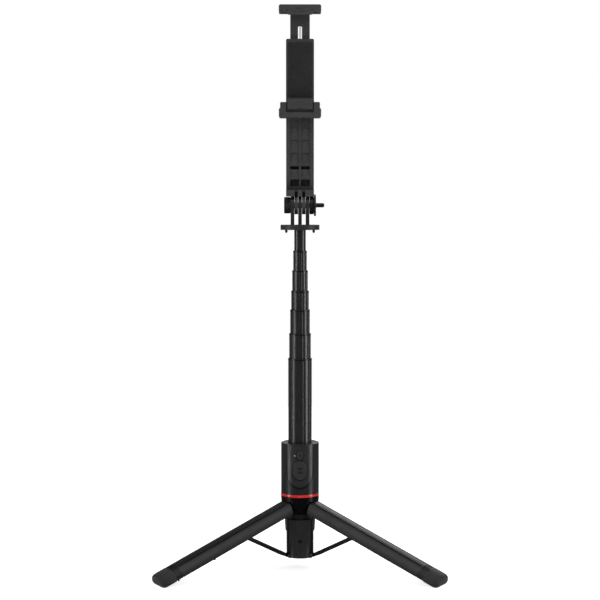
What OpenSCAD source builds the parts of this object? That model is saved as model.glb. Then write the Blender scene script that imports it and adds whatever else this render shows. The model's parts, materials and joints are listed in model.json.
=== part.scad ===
/* [Tripod] */
// Radius of the grip, and of the three legs folded round the pole
grip_r = 15.8; // [15:0.1:18]
// Length of a leg from its hinge to the end of its foot
leg_len = 131; // [118:1:170]
// Slope of a spread leg below level, in degrees
leg_slope = 22; // [22]
// Height of the leg hinges above the ground
hinge_z = 53.5; // [53.5]
// Distance of the leg hinges from the pole axis
hinge_r = 12.6; // [12.6]
// Wall of a leg shell
leg_wall = 1.5; // [1:0.1:1.7]
// Length of a rubber foot
foot_len = 14; // [10:1:20]
// Length of a stay between its pin and its shoe
stay_len = 48; // [46:0.5:49]
// Thickness of a stay bar
stay_t = 2.6; // [2:0.1:2.7]

/* [Grip] */
// Length of the collar above the red ring
collar_len = 42.1; // [42:0.1:60]
// Height of the accent ring
ring_h = 2.2; // [1.5:0.1:4]
// Width of the remote
remote_w = 21.2; // [20:0.1:21.6]
// Length of the remote
remote_len = 35.6; // [34:0.1:38]

/* [Pole] */
// Outer diameter of the widest tube
tube_d = 19.6; // [19:0.1:19.7]
// Step in diameter from one tube to the next
tube_step = 1.68; // [1.5:0.01:1.75]
// Wall of every tube
tube_wall = 0.55; // [0.4:0.05:0.6]
// Length of the six inner tubes
tube_len = 146; // [120:1:150]
// How far each tube stands out of the one before it
reach = [70.3, 20.7, 19.8, 15.7, 16.9, 16.3, 17.2]; // [10:0.1:71]

/* [Head] */
// Diameter of the head disc
disc_d = 32.2; // [30:0.1:36]
// Thickness of the head disc
disc_t = 4.2; // [3:0.1:6]
// Thickness of a hinge prong
prong_t = 3; // [2.4:0.1:3.2]
// Distance between prongs, centre to centre
prong_pitch = 6.2; // [6:0.1:7]
// Radius of the rounded prongs
prong_r = 7.5; // [6.5:0.1:7.6]
// Diameter of the tilt bolt
bolt_d = 4.8; // [4:0.1:5]

/* [Phone clamp] */
// Width of the jaws
jaw_w = 34.4; // [30:0.1:50]
// Opening between the jaws as drawn
gap = 72.5; // [60:0.5:84]
// Depth of the opening, front to back
gap_depth = 9.4; // [8:0.1:13]
// Height of the lower jaw's shelf above the tilt bolt
shelf_rise = 83.6; // [80:0.1:100]
// Width of the arm
arm_w = 22.9; // [20:0.1:28]
// Thickness of the arm
arm_t = 7; // [6:0.1:9]
// Thickness of the clamp's slide housing
slide_t = 6.4; // [6:0.1:8]

/* [Hidden] */
$fn = 96;
eps = 0.01;
fit = 0.1; // running clearance on a radius
air = 0.3; // gap between moving faces
big = 60;
leg_turn = [-30, 210, 90]; // azimuth of each leg

// grip levels, worked up from the hinges
hub_top = hinge_z + 7;
collar_z = hub_top + ring_h;
collar_top = collar_z + collar_len;
spigot_h = 8;
spigot_r = grip_r - 2.9;
bush_r = spigot_r - 1;
bore_r = tube_d / 2 + air;
core_r = bore_r + 0.8;
core_z = 46;

// legs, in a frame at the hinge: x along the leg, y across it, z outward
leg_r = 16;
chord_rho = 8;
leg_half_w = 13.5;
end_u_top = -0.5;
end_u_side = 3.9;
hub_gap = 0.5;
pocket_r = 3.75;
pocket_half = 10;
web_t = 1.4;
lug_r = 1.6;
lug_half = 2.4;
ear_in = lug_half + air;
ear_out = 6.4;
tongue_r = leg_r - leg_wall - air; // tongues of the hub that lie inside the closed legs
ear_r = 1.7;
leg_pin_r = 0.9;
foot_grow = 0.6;
foot_rho = 6.2;
rail_in = 3.6;
rail_out = 4.8;
rail_rho = 11.2;
peg_at = [0.62, 0.85];

// column and stays
stay_rho = 11.8;
stay_z = 10.3;
stay_rise = 27.3; // slope of a stay above level
stay_eye_r = 1.3;
stay_pin_r = 0.6;
shoe_r = 1.4;
shoe_half = 3;
cap_z = stay_z - 1.6;
cap_h = 5.9;
sleeve_z = cap_z + cap_h;
sleeve_h = 26.2;
sleeve_r = tube_d / 2 + 1.5;
channel_half = 1.9;
facet_y = sleeve_r - 0.35;

// pole tubes
tube_z1 = cap_z + 2.2;
end_ring_h = 1.5;
end_ring_proud = 0.12;
function tube_r(i) = (tube_d - (i - 1) * tube_step) / 2;
function rise(i) = i == 0 ? 0 : reach[i - 1] + rise(i - 1);
function tube_top(i) = collar_top + rise(i);
bush_h = 8;
groove_w = 1.6;
groove_turn = [-123, -100, -70, -38, 57, 80, 110, 142];

// head
disc_z = tube_top(7);
disc_top = disc_z + disc_t;
tilt_z = disc_top + 16.1;
socket_h = 2.4;
pin_x = 11.4;
pin_y = 6.6;
pin_r = 1.05;
pin_h = 2.7;
prong_x = [-prong_pitch, 0, prong_pitch];
fin_t = prong_pitch - prong_t - air;
prong_out = prong_pitch + prong_t / 2;
nut_r = 6.8;
nut_w = 5.4;
knob_r = 7.5;
flange_r = 8.95;
knob_w = 3.4;
flange_w = 1.9;
stub_r = 1.8;
stub_w = 7;

// phone holder
arm_y = -0.7;
arm_z = tilt_z + 9.5;
shelf_z = tilt_z + shelf_rise;
top_jaw_z = shelf_z + gap;
swivel_z = shelf_z + gap / 2;
arm_top = swivel_z + 13;
rib_pitch = 10.8;
cell_w = 7.3;
cell_deep = 4;
cell_gap = 1.7;
rib_h = 2;
rivet_r = 3;
slide_y = arm_y - 0.5;
slide_front = slide_y - slide_t;
jaw_front = slide_front - gap_depth - 2;
lip_t = 2;
lip_h = 2.4;
lower_jaw_h = 12.4;
upper_jaw_h = 5.9;
jaw_r = 1.7;
tongue_w = 20.2;
recess_w = 22.8;
pad_t = 0.8;
slide_w = arm_w;
slide_top = shelf_z + 52;
track_half = 8.2;
stem_t = 2.2;
stem_len = 62;
track_y = slide_y - 1.2;
spring_r = 1.3;
spring_slot = 3.2;
spring_drop = 10; // from the upper jaw down to the spring's top hook
spring_y = track_y - stem_t / 2 - 0.2;
spring_low = shelf_z - lower_jaw_h + 8;
spring_high = top_jaw_z - spring_drop;

// remote
dock_y = -bore_r - 0.9;
remote_y = dock_y - 0.15;
remote_z = collar_top - remote_len;
remote_skin = 0.9;
dock_gap = 0.25;
back_t = 0.8;
shutter_w = 11.2;
shutter_h = 16;
shutter_z = remote_z + 14.1;
power_w = 4.9;
power_h = 7.4;
power_z = remote_z + 26.8;
button_proud = 0.3;
button_back = 1.45;
cell_r = 5.4;
cell_t = 1.4;
light_x = -4.4;

// ---------- shared shapes ----------
module round_rect(w, h, r) {
    square([w - 2 * r, h], center = true);
    square([w, h - 2 * r], center = true);
    for (x = [-1, 1], y = [-1, 1]) translate([x * (w / 2 - r), y * (h / 2 - r)]) circle(r);
}

module tube(r_out, r_in, h) {
    difference() {
        cylinder(r = r_out, h = h);
        translate([0, 0, -1]) cylinder(r = r_in, h = h + 2);
    }
}

// a slab whose outline lies in x and z, from y = y0 forward to y = y1
module upright(y0, y1) {
    translate([0, y0, 0]) rotate([90, 0, 0]) linear_extrude(y0 - y1) children();
}

// a bar across the leg or stay, along y
module cross_pin(r, half) {
    rotate([90, 0, 0]) cylinder(r = r, h = 2 * half, center = true);
}

// the frame of leg k's hinge, spread
module at_hinge(k) {
    rotate([0, 0, leg_turn[k]]) translate([hinge_r, 0, hinge_z]) rotate([0, leg_slope, 0])
        children();
}

module at_stay(k) {
    rotate([0, 0, leg_turn[k]]) translate([stay_rho, 0, stay_z]) rotate([0, -stay_rise, 0])
        children();
}

// ---------- grip ----------
module remote_outline(grow) {
    w = remote_w / 2 + grow;
    translate([0, remote_z + remote_w / 2]) {
        circle(w);
        translate([-w, 0]) square([2 * w, remote_len - remote_w / 2 + (grow > 0 ? 1 : 0)]);
    }
}

module collar_shell() {
    color("#26272a") difference() {
        translate([0, 0, collar_z]) cylinder(r = grip_r, h = collar_len);
        translate([0, 0, collar_z - 1]) cylinder(r = bore_r, h = collar_len + 2);
        translate([0, 0, collar_z - 1]) cylinder(r = spigot_r + fit, h = spigot_h + 1 + fit);
        upright(dock_y, -grip_r - 2) remote_outline(dock_gap);
        upright(-grip_r + 1.4, -grip_r - 2) translate([0, remote_z + 7.6]) circle(9.2);
        for (s = [-1, 1]) translate([s * pin_x, pin_y, collar_top - 4])
            cylinder(r = pin_r + 0.35, h = 5);
    }
}

module accent_ring() {
    color("#c5201c") translate([0, 0, hub_top]) tube(grip_r + 0.1, spigot_r + fit, ring_h);
}

// what is cut from the hub for one leg: a slanted face and a pocket at the hinge
module leg_room(k) {
    rotate([0, 0, leg_turn[k]]) {
        top_z = hinge_z - end_u_top + hub_gap;
        side_z = hinge_z - end_u_side + hub_gap;
        slope = (top_z - side_z) / (leg_r - chord_rho);
        rotate([90, 0, 0]) linear_extrude(2 * big, center = true)
            polygon([[-2, side_z - slope * (chord_rho + 2)], [leg_r + 4, top_z + slope * 4],
                [leg_r + 4, core_z - 9], [-2, core_z - 9]]);
        translate([hinge_r, 0, hinge_z]) {
            cross_pin(pocket_r, pocket_half);
            // the leg's round back leaves the pocket at its first few degrees of fold
            for (fold = [0, 8]) rotate([0, leg_slope + fold, 0]) along_leg(0, 7) intersection() {
                translate([0, -hinge_r]) circle(leg_r + air);
                translate([-pocket_half, -1]) square([2 * pocket_half, 6]);
            }
        }
    }
}

module hub_tongues() {
    side = ear_out + air;
    difference() {
        translate([0, 0, core_z]) cylinder(r = tongue_r, h = hub_top - core_z);
        for (k = [0:2]) rotate([0, 0, leg_turn[k]])
            translate([0, -side, core_z - 1]) cube([big, 2 * side, hub_top]);
    }
}

module leg_hub() {
    color("#1c1d1f") difference() {
        union() {
            difference() {
                translate([0, 0, core_z]) cylinder(r = grip_r, h = hub_top - core_z);
                for (k = [0:2]) leg_room(k);
            }
            translate([0, 0, core_z]) cylinder(r = core_r, h = hub_top - core_z);
            hub_tongues();
            translate([0, 0, hub_top]) cylinder(r = spigot_r, h = spigot_h);
            for (k = [0:2]) rotate([0, 0, leg_turn[k]]) {
                translate([hinge_r, 0, hinge_z]) cross_pin(lug_r, lug_half);
                translate([core_r - 1, -lug_half, hinge_z - lug_r])
                    cube([hinge_r - core_r + 1, 2 * lug_half, 2 * lug_r]);
            }
        }
        translate([0, 0, core_z - 1]) cylinder(r = bore_r, h = big);
        translate([0, 0, hub_top - 3]) cylinder(r = bush_r + fit, h = big);
        for (k = [0:2]) rotate([0, 0, leg_turn[k]]) translate([hinge_r, 0, hinge_z])
            cross_pin(leg_pin_r + fit / 2, lug_half + 1);
    }
}

module guide_bush() {
    color("#d8d6cf") translate([0, 0, hub_top - 3 + fit])
        tube(bush_r, bore_r - 0.15, spigot_h + 3 - 2 * fit);
}

module leg_pins() {
    color("silver") for (k = [0:2]) rotate([0, 0, leg_turn[k]])
        translate([hinge_r, 0, hinge_z]) cross_pin(leg_pin_r, ear_out);
}

// ---------- legs ----------
module leg_section(r_out, rho, half_w, clip) {
    intersection() {
        translate([0, -hinge_r]) circle(r_out);
        translate([0, -hinge_r]) polygon([[-half_w, rho], [half_w, rho], [half_w, r_out + 1],
            [-half_w, r_out + 1]]);
        translate([0, -hinge_r]) polygon([[0, clip], [r_out * 2, clip + r_out * 2 / tan(60)],
            [r_out * 2, 3 * r_out], [-r_out * 2, 3 * r_out],
            [-r_out * 2, clip + r_out * 2 / tan(60)]]);
    }
}

module along_leg(u0, u1) {
    translate([u0, 0, 0]) rotate([90, 0, 90]) linear_extrude(u1 - u0) children();
}

// everything hubward of the slanted end of a leg
module end_cut() {
    n_top = leg_r - hinge_r;
    n_side = chord_rho - hinge_r;
    lean = (end_u_side - end_u_top) / (n_top - n_side);
    rotate([90, 0, 0]) linear_extrude(2 * big, center = true)
        polygon([[end_u_top - 2 * lean, n_top + 2], [end_u_side + 2 * lean, n_side - 2],
            [-9, n_side - 2], [-9, n_top + 2]]);
}

module leg(k) {
    inner_r = leg_r - leg_wall;
    shell_end = leg_len - foot_len;
    color("#2c2d30") at_hinge(k) difference() {
        union() {
            difference() {
                along_leg(-3, shell_end) leg_section(leg_r, chord_rho, leg_half_w, 0.15);
                along_leg(-4, shell_end + 1) translate([0, -hinge_r]) circle(inner_r);
                end_cut();
            }
            // ears round the hinge pin
            for (s = [-1, 1]) translate([0, s * (ear_in + ear_out) / 2, 0])
                rotate([90, 0, 0]) linear_extrude(ear_out - ear_in, center = true) {
                    circle(ear_r);
                    polygon([[0, -ear_r], [ear_r, -ear_r], [9, inner_r - hinge_r - 1],
                        [9, inner_r - hinge_r], [0.4, inner_r - hinge_r]]);
                }
            // rails that guide the stay's shoe, and a stop web at the foot
            for (s = [-1, 1]) translate([30, s * (rail_in + rail_out) / 2, 0])
                rotate([90, 0, 90]) linear_extrude(46)
                    polygon([[-0.6, rail_rho - hinge_r], [0.6, rail_rho - hinge_r],
                        [0.6, inner_r - hinge_r - 0.3], [-0.6, inner_r - hinge_r - 0.3]]);
            along_leg(shell_end - web_t, shell_end)
                leg_section(leg_r - 0.5, chord_rho, leg_half_w - 0.5, 0.4);
            for (p = peg_at) translate([p * leg_len, leg_half_w - 0.9, chord_rho - hinge_r - 0.7])
                cylinder(r = 0.7, h = 1.4);
        }
        cross_pin(leg_pin_r + fit / 2, leg_r);
        // three fine grooves round the end, before the foot
        for (i = [1:3]) difference() {
            translate([shell_end - 1.3 * i - 0.6, -20, -20]) cube([0.5, 40, 40]);
            along_leg(shell_end - 6, shell_end + 1) translate([0, -hinge_r]) circle(leg_r - 0.4);
        }
    }
}

module foot(k) {
    color("#151515") difference() {
        at_hinge(k) intersection() {
            along_leg(leg_len - foot_len, leg_len)
                leg_section(leg_r + foot_grow, foot_rho, leg_half_w, 0.3);
            // the end is rounded in plan and from the side
            rotate([90, 0, 0]) linear_extrude(2 * big, center = true) union() {
                translate([leg_len - foot_len - 1, -20]) square([foot_len - 4 + 1, 40]);
                translate([leg_len - 6.6, -2.2]) circle(6.6);
                translate([leg_len - foot_len, -20]) square([foot_len - 1.2, 17.8]);
            }
            translate([leg_len - foot_len - 1, 0, -20]) linear_extrude(40) union() {
                translate([0, -leg_half_w]) square([foot_len - 6 + 1, 2 * leg_half_w]);
                translate([0, -leg_half_w + 7]) square([foot_len + 1, 2 * leg_half_w - 14]);
                for (s = [-1, 1]) translate([foot_len - 6, s * (leg_half_w - 7)]) circle(7);
            }
        }
        translate([-big * 4, -big * 4, -20]) cube([big * 8, big * 8, 20]);
    }
}

// ---------- column and stays ----------
module column_sleeve() {
    color("#1f2022") difference() {
        translate([0, 0, sleeve_z]) cylinder(r = sleeve_r, h = sleeve_h);
        translate([0, 0, sleeve_z - 1]) cylinder(r = tube_d / 2 + 0.02, h = sleeve_h + 2);
        for (k = [0:2]) rotate([0, 0, leg_turn[k]]) translate([tube_d / 2 + 0.3, -channel_half,
            sleeve_z - 1]) cube([9, 2 * channel_half, sleeve_h + 2]);
        translate([-big, -facet_y - 9, sleeve_z - 1]) cube([2 * big, 9, sleeve_h + 2]);
        translate([0, 0, sleeve_z + 8.4]) rotate([90, 0, 0]) cylinder(r = 1.55, h = 20);
    }
}

module sleeve_screw() {
    color("#8a8c90") difference() {
        translate([0, -tube_d / 2 - 0.05, sleeve_z + 8.4]) rotate([90, 0, 0])
            cylinder(r = 1.45, h = 0.9);
        translate([0, -tube_d / 2 - 0.6, sleeve_z + 8.4]) rotate([90, 0, 0])
            for (a = [0, 90]) rotate([0, 0, a]) translate([-1, -0.2, 0]) cube([2, 0.4, 3]);
    }
}

module base_cap() {
    ear_half = 3.7;
    color("#1f2022") difference() {
        union() {
            translate([0, 0, cap_z]) cylinder(r = sleeve_r, h = cap_h);
            for (k = [0:2]) rotate([0, 0, leg_turn[k]]) {
                translate([stay_rho, 0, stay_z]) cross_pin(stay_z - cap_z, ear_half);
                translate([sleeve_r - 3, -ear_half, cap_z])
                    cube([stay_rho - sleeve_r + 3, 2 * ear_half, 2 * (stay_z - cap_z)]);
            }
        }
        translate([0, 0, tube_z1]) cylinder(r = tube_d / 2 + 0.02, h = cap_h);
        for (k = [0:2]) rotate([0, 0, leg_turn[k]]) {
            translate([tube_d / 2 + 0.3, -channel_half + 0.3, cap_z - 1])
                cube([9, 2 * channel_half - 0.6, cap_h + 2]);
            translate([stay_rho, 0, stay_z]) cross_pin(stay_pin_r, ear_half + 1);
        }
        translate([0, 0, cap_z - 1]) cylinder(r = 6.5, h = 1.8);
    }
}

module stay_pins() {
    color("silver") for (k = [0:2]) rotate([0, 0, leg_turn[k]])
        translate([stay_rho, 0, stay_z]) cross_pin(stay_pin_r, 3.6);
}

module stay(k) {
    color("#202124") at_stay(k) difference() {
        union() {
            cross_pin(stay_eye_r, stay_t / 2);
            translate([0, -stay_t / 2, -stay_eye_r]) cube([stay_len, stay_t, 2 * stay_eye_r]);
            translate([stay_len, 0, 0]) cross_pin(shoe_r, shoe_half);
        }
        cross_pin(stay_pin_r + fit / 2, 9);
        for (s = [-1, 1]) translate([5, s * stay_t / 2 - 0.3, -0.6]) cube([stay_len - 10, 0.6, 1.2]);
    }
}

// ---------- pole ----------
module pole_tube(i) {
    r = tube_r(i);
    top = tube_top(i) - (i < 7 ? end_ring_h : -socket_h);
    foot = i == 1 ? tube_z1 : tube_top(i) - tube_len;
    color("#17181a") translate([0, 0, foot]) difference() {
        cylinder(r = r, h = top - foot);
        translate([0, 0, -1]) cylinder(r = r - tube_wall, h = top - foot + 2);
        if (i < 7) for (a = groove_turn) rotate([0, 0, a]) translate([r - 0.16, -groove_w / 2, -1])
            cube([1, groove_w, top - foot + 2]);
    }
}

module end_ring(i) {
    r = tube_r(i);
    color("#0e0e10") translate([0, 0, tube_top(i) - end_ring_h])
        tube(r + end_ring_proud, r - tube_wall, end_ring_h);
}

module slide_bush(i) {
    color("#e6e3da") translate([0, 0, tube_top(i) - tube_len])
        tube(tube_r(i - 1) - tube_wall - fit / 2, tube_r(i) + 0.01, bush_h);
}

// ---------- head ----------
module prong_outline() {
    circle(prong_r);
    translate([-prong_r, disc_z - tilt_z + 1]) square([2 * prong_r, tilt_z - disc_z - 1]);
}

module head_mount() {
    color("#222326") difference() {
        union() {
            translate([0, 0, disc_z]) cylinder(r = disc_d / 2, h = disc_t);
            for (x = prong_x) translate([x, 0, tilt_z]) rotate([90, 0, 90])
                linear_extrude(prong_t, center = true) prong_outline();
            for (s = [-1, 1]) translate([s * pin_x, pin_y, disc_z]) {
                translate([0, 0, -pin_h + 0.9]) cylinder(r = pin_r, h = pin_h);
                translate([0, 0, -pin_h]) cylinder(r1 = 0.5, r2 = pin_r, h = 0.9);
            }
        }
        translate([0, 0, disc_z - 1]) cylinder(r = tube_r(7) + 0.02, h = socket_h + 1);
        translate([0, 0, tilt_z]) rotate([0, 90, 0])
            cylinder(r = bolt_d / 2 + fit / 2, h = big, center = true);
    }
}

module prong_nut() {
    color("#1a1a1c") translate([-prong_out - 0.02, 0, tilt_z]) rotate([0, -90, 0]) difference() {
        cylinder(r = nut_r, h = nut_w);
        translate([0, 0, -1]) cylinder(r = bolt_d / 2 + fit / 2, h = nut_w + 0.2);
        for (a = [0:20:340]) rotate([0, 0, a]) translate([nut_r + 0.35, 0, 0.8])
            cylinder(r = 0.75, h = nut_w);
    }
}

module tilt_bolt() {
    color("#a9abaf") translate([-prong_out - nut_w + 1.3, 0, tilt_z]) rotate([0, 90, 0])
        cylinder(r = bolt_d / 2, h = 2 * prong_out + nut_w - 1.3 + knob_w - 0.6);
}

module tilt_knob() {
    color("#1a1a1c") translate([prong_out + air / 2, 0, tilt_z]) rotate([0, 90, 0]) difference() {
        union() {
            cylinder(r = knob_r, h = knob_w);
            translate([0, 0, knob_w]) cylinder(r = knob_r - 1.2, h = 0.3);
            translate([0, 0, knob_w + 0.3]) cylinder(r = flange_r, h = flange_w);
            translate([0, 0, knob_w + flange_w]) cylinder(r = stub_r, h = stub_w - stub_r);
            translate([0, 0, knob_w + flange_w + stub_w - stub_r]) sphere(r = stub_r);
        }
        translate([0, 0, -1]) cylinder(r = bolt_d / 2 + 0.02, h = knob_w + 0.7);
        for (a = [0:30:330]) rotate([0, 0, a]) translate([flange_r + 0.5, 0, knob_w])
            cylinder(r = 1, h = flange_w + 1);
    }
}

// ---------- holder ----------
module holder_arm() {
    arm_mid = (arm_z + arm_top) / 2;
    cells = floor((arm_top - 16 - arm_z - 4) / rib_pitch);
    color("#222326") difference() {
        union() {
            upright(arm_y + arm_t, arm_y) translate([0, arm_mid])
                round_rect(arm_w, arm_top - arm_z, 2.4);
            translate([-arm_w / 2, arm_y - 5.5, arm_z]) cube([arm_w, 6, 3]);
            for (s = [-1, 1]) translate([s * prong_pitch / 2, 0, tilt_z]) rotate([90, 0, 90])
                linear_extrude(fin_t, center = true) {
                    circle(prong_r);
                    translate([-prong_r + 1.5, 0]) square([2 * prong_r - 2, arm_z - tilt_z + 1]);
                }
        }
        for (i = [0:cells - 1], s = [-1, 1])
            upright(arm_y + cell_deep, arm_y - 1)
                translate([s * (cell_w + cell_gap) / 2, arm_z + 8.2 + rib_pitch * (i + 0.5)])
                    round_rect(cell_w, rib_pitch - rib_h, 0.6);
        for (s = [-1, 1]) translate([s * 3.1 - 1.25, arm_y - 6, arm_z - 1]) cube([2.5, 5, 5]);
        upright(arm_y + arm_t + 1, arm_y - 1) translate([0, swivel_z]) circle(rivet_r + fit / 2);
        translate([0, 0, tilt_z]) rotate([0, 90, 0])
            cylinder(r = bolt_d / 2 + fit / 2, h = big, center = true);
    }
}

module swivel_rivet() {
    color("#8a8c90") translate([0, 0, swivel_z]) {
        upright(arm_y + arm_t + 0.5, slide_y + eps) circle(rivet_r);
        upright(arm_y + arm_t + 1.4, arm_y + arm_t + fit / 2) circle(rivet_r + 2.4);
    }
}

module jaw_outline(z0, z1) {
    translate([0, (z0 + z1) / 2]) round_rect(jaw_w, z1 - z0, jaw_r);
}

// outline of a rubber strip let into a jaw's face
module pad_outline(grow) {
    translate([0, (slide_front + jaw_front + lip_t) / 2 - 0.4])
        round_rect(jaw_w - 4 + 2 * grow, gap_depth - 1.2 + 2 * grow, 1);
}

module clamp_body() {
    jaw_bottom = shelf_z - lower_jaw_h;
    color("#232427") difference() {
        union() {
            upright(slide_y, slide_front) translate([0, (jaw_bottom + slide_top) / 2])
                round_rect(slide_w, slide_top - jaw_bottom, 1.5);
            upright(slide_y, jaw_front) jaw_outline(jaw_bottom, shelf_z);
            upright(jaw_front + lip_t, jaw_front) translate([0, shelf_z + lip_h / 2 - 1])
                round_rect(tongue_w, lip_h + 2, 0.9);
        }
        // track for the upper jaw's stem
        translate([-track_half, track_y - stem_t - 0.4, jaw_bottom + 6])
            cube([2 * track_half, stem_t + 0.4, big * 2]);
        // recess in the jaw's front face, with the tongue standing in it
        difference() {
            upright(jaw_front + 1.6, jaw_front - 1) translate([0, shelf_z - 4])
                square([recess_w, 9], center = true);
            upright(jaw_front + 3, jaw_front - 2) translate([0, shelf_z - 2.4])
                round_rect(tongue_w, 7.2, 0.9);
        }
        upright(jaw_front + 1, jaw_front - 1) translate([0, shelf_z - 15.5]) circle(10.4);
        translate([0, 0, shelf_z - pad_t]) linear_extrude(pad_t + 0.1) pad_outline(0.05);
    }
}

module clamp_pads() {
    color("#3a3b3e") {
        upright(slide_front - eps, slide_front - pad_t) translate([0, shelf_z + 27])
            round_rect(slide_w - 3, 44, 1.5);
        translate([0, 0, shelf_z - pad_t + eps]) linear_extrude(pad_t) pad_outline(0);
    }
}

module upper_jaw() {
    color("#232427") difference() {
        union() {
            upright(slide_y, jaw_front) jaw_outline(top_jaw_z, top_jaw_z + upper_jaw_h);
            upright(jaw_front + lip_t, jaw_front) translate([0, top_jaw_z - lip_h / 2 + 1])
                round_rect(tongue_w, lip_h + 2, 0.9);
            translate([-track_half + 0.2, track_y - stem_t - 0.2, top_jaw_z - stem_len])
                cube([2 * track_half - 0.4, stem_t, stem_len + 2]);
        }
        translate([-spring_slot / 2, track_y - stem_t - 1, top_jaw_z - stem_len - 1])
            cube([spring_slot, stem_t + 2, stem_len + 1 - spring_drop]);
        for (s = [-1, 1]) translate([s * 3.2 - 1, jaw_front - 1, top_jaw_z + 3])
            cube([2, 1.35, 0.7]);
        translate([0, 0, top_jaw_z - 0.1]) linear_extrude(pad_t + 0.1) pad_outline(0.05);
    }
}

module upper_pad() {
    color("#3a3b3e") translate([0, 0, top_jaw_z - eps]) linear_extrude(pad_t) pad_outline(0);
}

module clamp_spring() {
    color("#b5b7bb") translate([0, spring_y, spring_low + 0.6])
        cylinder(r = spring_r - 0.25, h = spring_high - spring_low - 0.7);
}

module spring_pins() {
    color("#8a8c90") translate([0, spring_y, spring_low - 1.4])
        cylinder(r = spring_r - 0.25, h = 1.7);
}

// ---------- remote ----------
module skin_slab(r) {
    intersection() {
        upright(remote_y, -grip_r - 3) remote_outline(0);
        cylinder(r = r, h = big * 3);
    }
}

module button_outline(w, h, z, grow) {
    translate([0, z]) round_rect(w + 2 * grow, h + 2 * grow, w / 2 + grow - eps);
}

module remote_front() {
    color("#1b1c1e") difference() {
        skin_slab(grip_r);
        difference() {
            upright(remote_y + 1, -grip_r) offset_outline();
            difference() {
                cylinder(r = grip_r + 9, h = big * 3);
                translate([0, 0, -1]) cylinder(r = grip_r - remote_skin, h = big * 4);
            }
        }
        upright(remote_y, -grip_r - 2) button_outline(shutter_w, shutter_h, shutter_z, 0.15);
        upright(remote_y, -grip_r - 2) button_outline(power_w, power_h, power_z, 0.15);
        upright(remote_y, -grip_r - 2) translate([light_x, power_z - 0.4]) circle(0.55);
    }
}

module offset_outline() {
    w = remote_w / 2 - remote_skin;
    translate([0, remote_z + remote_w / 2]) {
        circle(w);
        translate([-w, 0]) square([2 * w, remote_len - remote_w / 2 - remote_skin]);
    }
}

module remote_back() {
    color("#1b1c1e") intersection() {
        upright(remote_y, remote_y - back_t) offset_outline();
        cylinder(r = grip_r - remote_skin - fit, h = big * 3);
    }
}

module button(w, h, z) {
    color("#2b2c2f") intersection() {
        upright(-grip_r + button_back, -grip_r - 2) button_outline(w, h, z, 0);
        cylinder(r = grip_r + button_proud, h = big * 3);
    }
}

module shutter_button() {
    difference() {
        button(shutter_w, shutter_h, shutter_z);
        upright(-grip_r - button_proud + 0.35, -grip_r - 2) translate([0, shutter_z])
            difference() {
                circle(3.1);
                circle(2.6);
            }
    }
}

module power_button() {
    button(power_w, power_h, power_z);
}

module status_light() {
    color("#9fd8ff") upright(-grip_r + 2.2, -grip_r + 0.75) translate([light_x, power_z - 0.4])
        circle(0.5);
}

module remote_board() {
    color("#1f6b3a") upright(remote_y - back_t - 0.05, remote_y - back_t - 0.75)
        translate([0, remote_z + 23.5]) round_rect(14, 18, 1);
}

module coin_cell() {
    color("#c9cbd0") upright(remote_y - back_t - 0.05, remote_y - back_t - 0.05 - cell_t)
        translate([0, remote_z + 8.6]) circle(cell_r);
}

collar_shell();
accent_ring();
leg_hub();
guide_bush();
leg_pins();
pole_tube(1);  // tube_1
pole_tube(2);  // tube_2
pole_tube(3);  // tube_3
pole_tube(4);  // tube_4
pole_tube(5);  // tube_5
pole_tube(6);  // tube_6
pole_tube(7);  // tube_7
end_ring(1);  // end_ring_1
end_ring(2);  // end_ring_2
end_ring(3);  // end_ring_3
end_ring(4);  // end_ring_4
end_ring(5);  // end_ring_5
end_ring(6);  // end_ring_6
slide_bush(2);  // slide_bush_2
slide_bush(3);  // slide_bush_3
slide_bush(4);  // slide_bush_4
slide_bush(5);  // slide_bush_5
slide_bush(6);  // slide_bush_6
slide_bush(7);  // slide_bush_7
column_sleeve();
base_cap();
stay_pins();
sleeve_screw();
leg(0);  // leg_1
leg(1);  // leg_2
leg(2);  // leg_3
foot(0);  // foot_1
foot(1);  // foot_2
foot(2);  // foot_3
stay(0);  // stay_1
stay(1);  // stay_2
stay(2);  // stay_3
head_mount();
prong_nut();
tilt_bolt();
tilt_knob();
holder_arm();
swivel_rivet();
clamp_body();
clamp_pads();
upper_jaw();
upper_pad();
clamp_spring();
spring_pins();
remote_front();
remote_back();
shutter_button();
power_button();
status_light();
remote_board();
coin_cell();
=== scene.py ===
import json
import math

import bmesh
import bpy
from mathutils import Matrix, Vector


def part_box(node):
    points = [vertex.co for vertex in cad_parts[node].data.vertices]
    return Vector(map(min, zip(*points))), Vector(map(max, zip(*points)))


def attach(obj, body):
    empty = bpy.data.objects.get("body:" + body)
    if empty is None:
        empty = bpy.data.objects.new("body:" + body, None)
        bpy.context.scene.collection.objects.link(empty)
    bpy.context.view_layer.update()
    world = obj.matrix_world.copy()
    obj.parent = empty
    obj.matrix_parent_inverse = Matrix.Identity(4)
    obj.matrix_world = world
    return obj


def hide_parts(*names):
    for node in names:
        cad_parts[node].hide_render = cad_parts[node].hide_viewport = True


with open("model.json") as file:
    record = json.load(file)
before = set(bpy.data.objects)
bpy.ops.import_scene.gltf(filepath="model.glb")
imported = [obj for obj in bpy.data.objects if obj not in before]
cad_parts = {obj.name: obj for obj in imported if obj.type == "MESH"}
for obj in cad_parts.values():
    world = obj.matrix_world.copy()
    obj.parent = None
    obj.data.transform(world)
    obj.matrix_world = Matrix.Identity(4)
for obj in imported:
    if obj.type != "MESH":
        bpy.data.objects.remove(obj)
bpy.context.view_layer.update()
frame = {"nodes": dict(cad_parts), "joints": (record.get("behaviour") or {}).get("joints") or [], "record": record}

MM = 0.001
ROUND = 128                      # facets round a full circle
HALF_TURN = math.pi
joints = {j["name"]: j for j in frame["joints"]}
nodes = frame["nodes"]
node_slot = {s["node"]: s["material_slot"] for s in frame["record"]["subparts"]}
scene = bpy.context.scene


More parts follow.
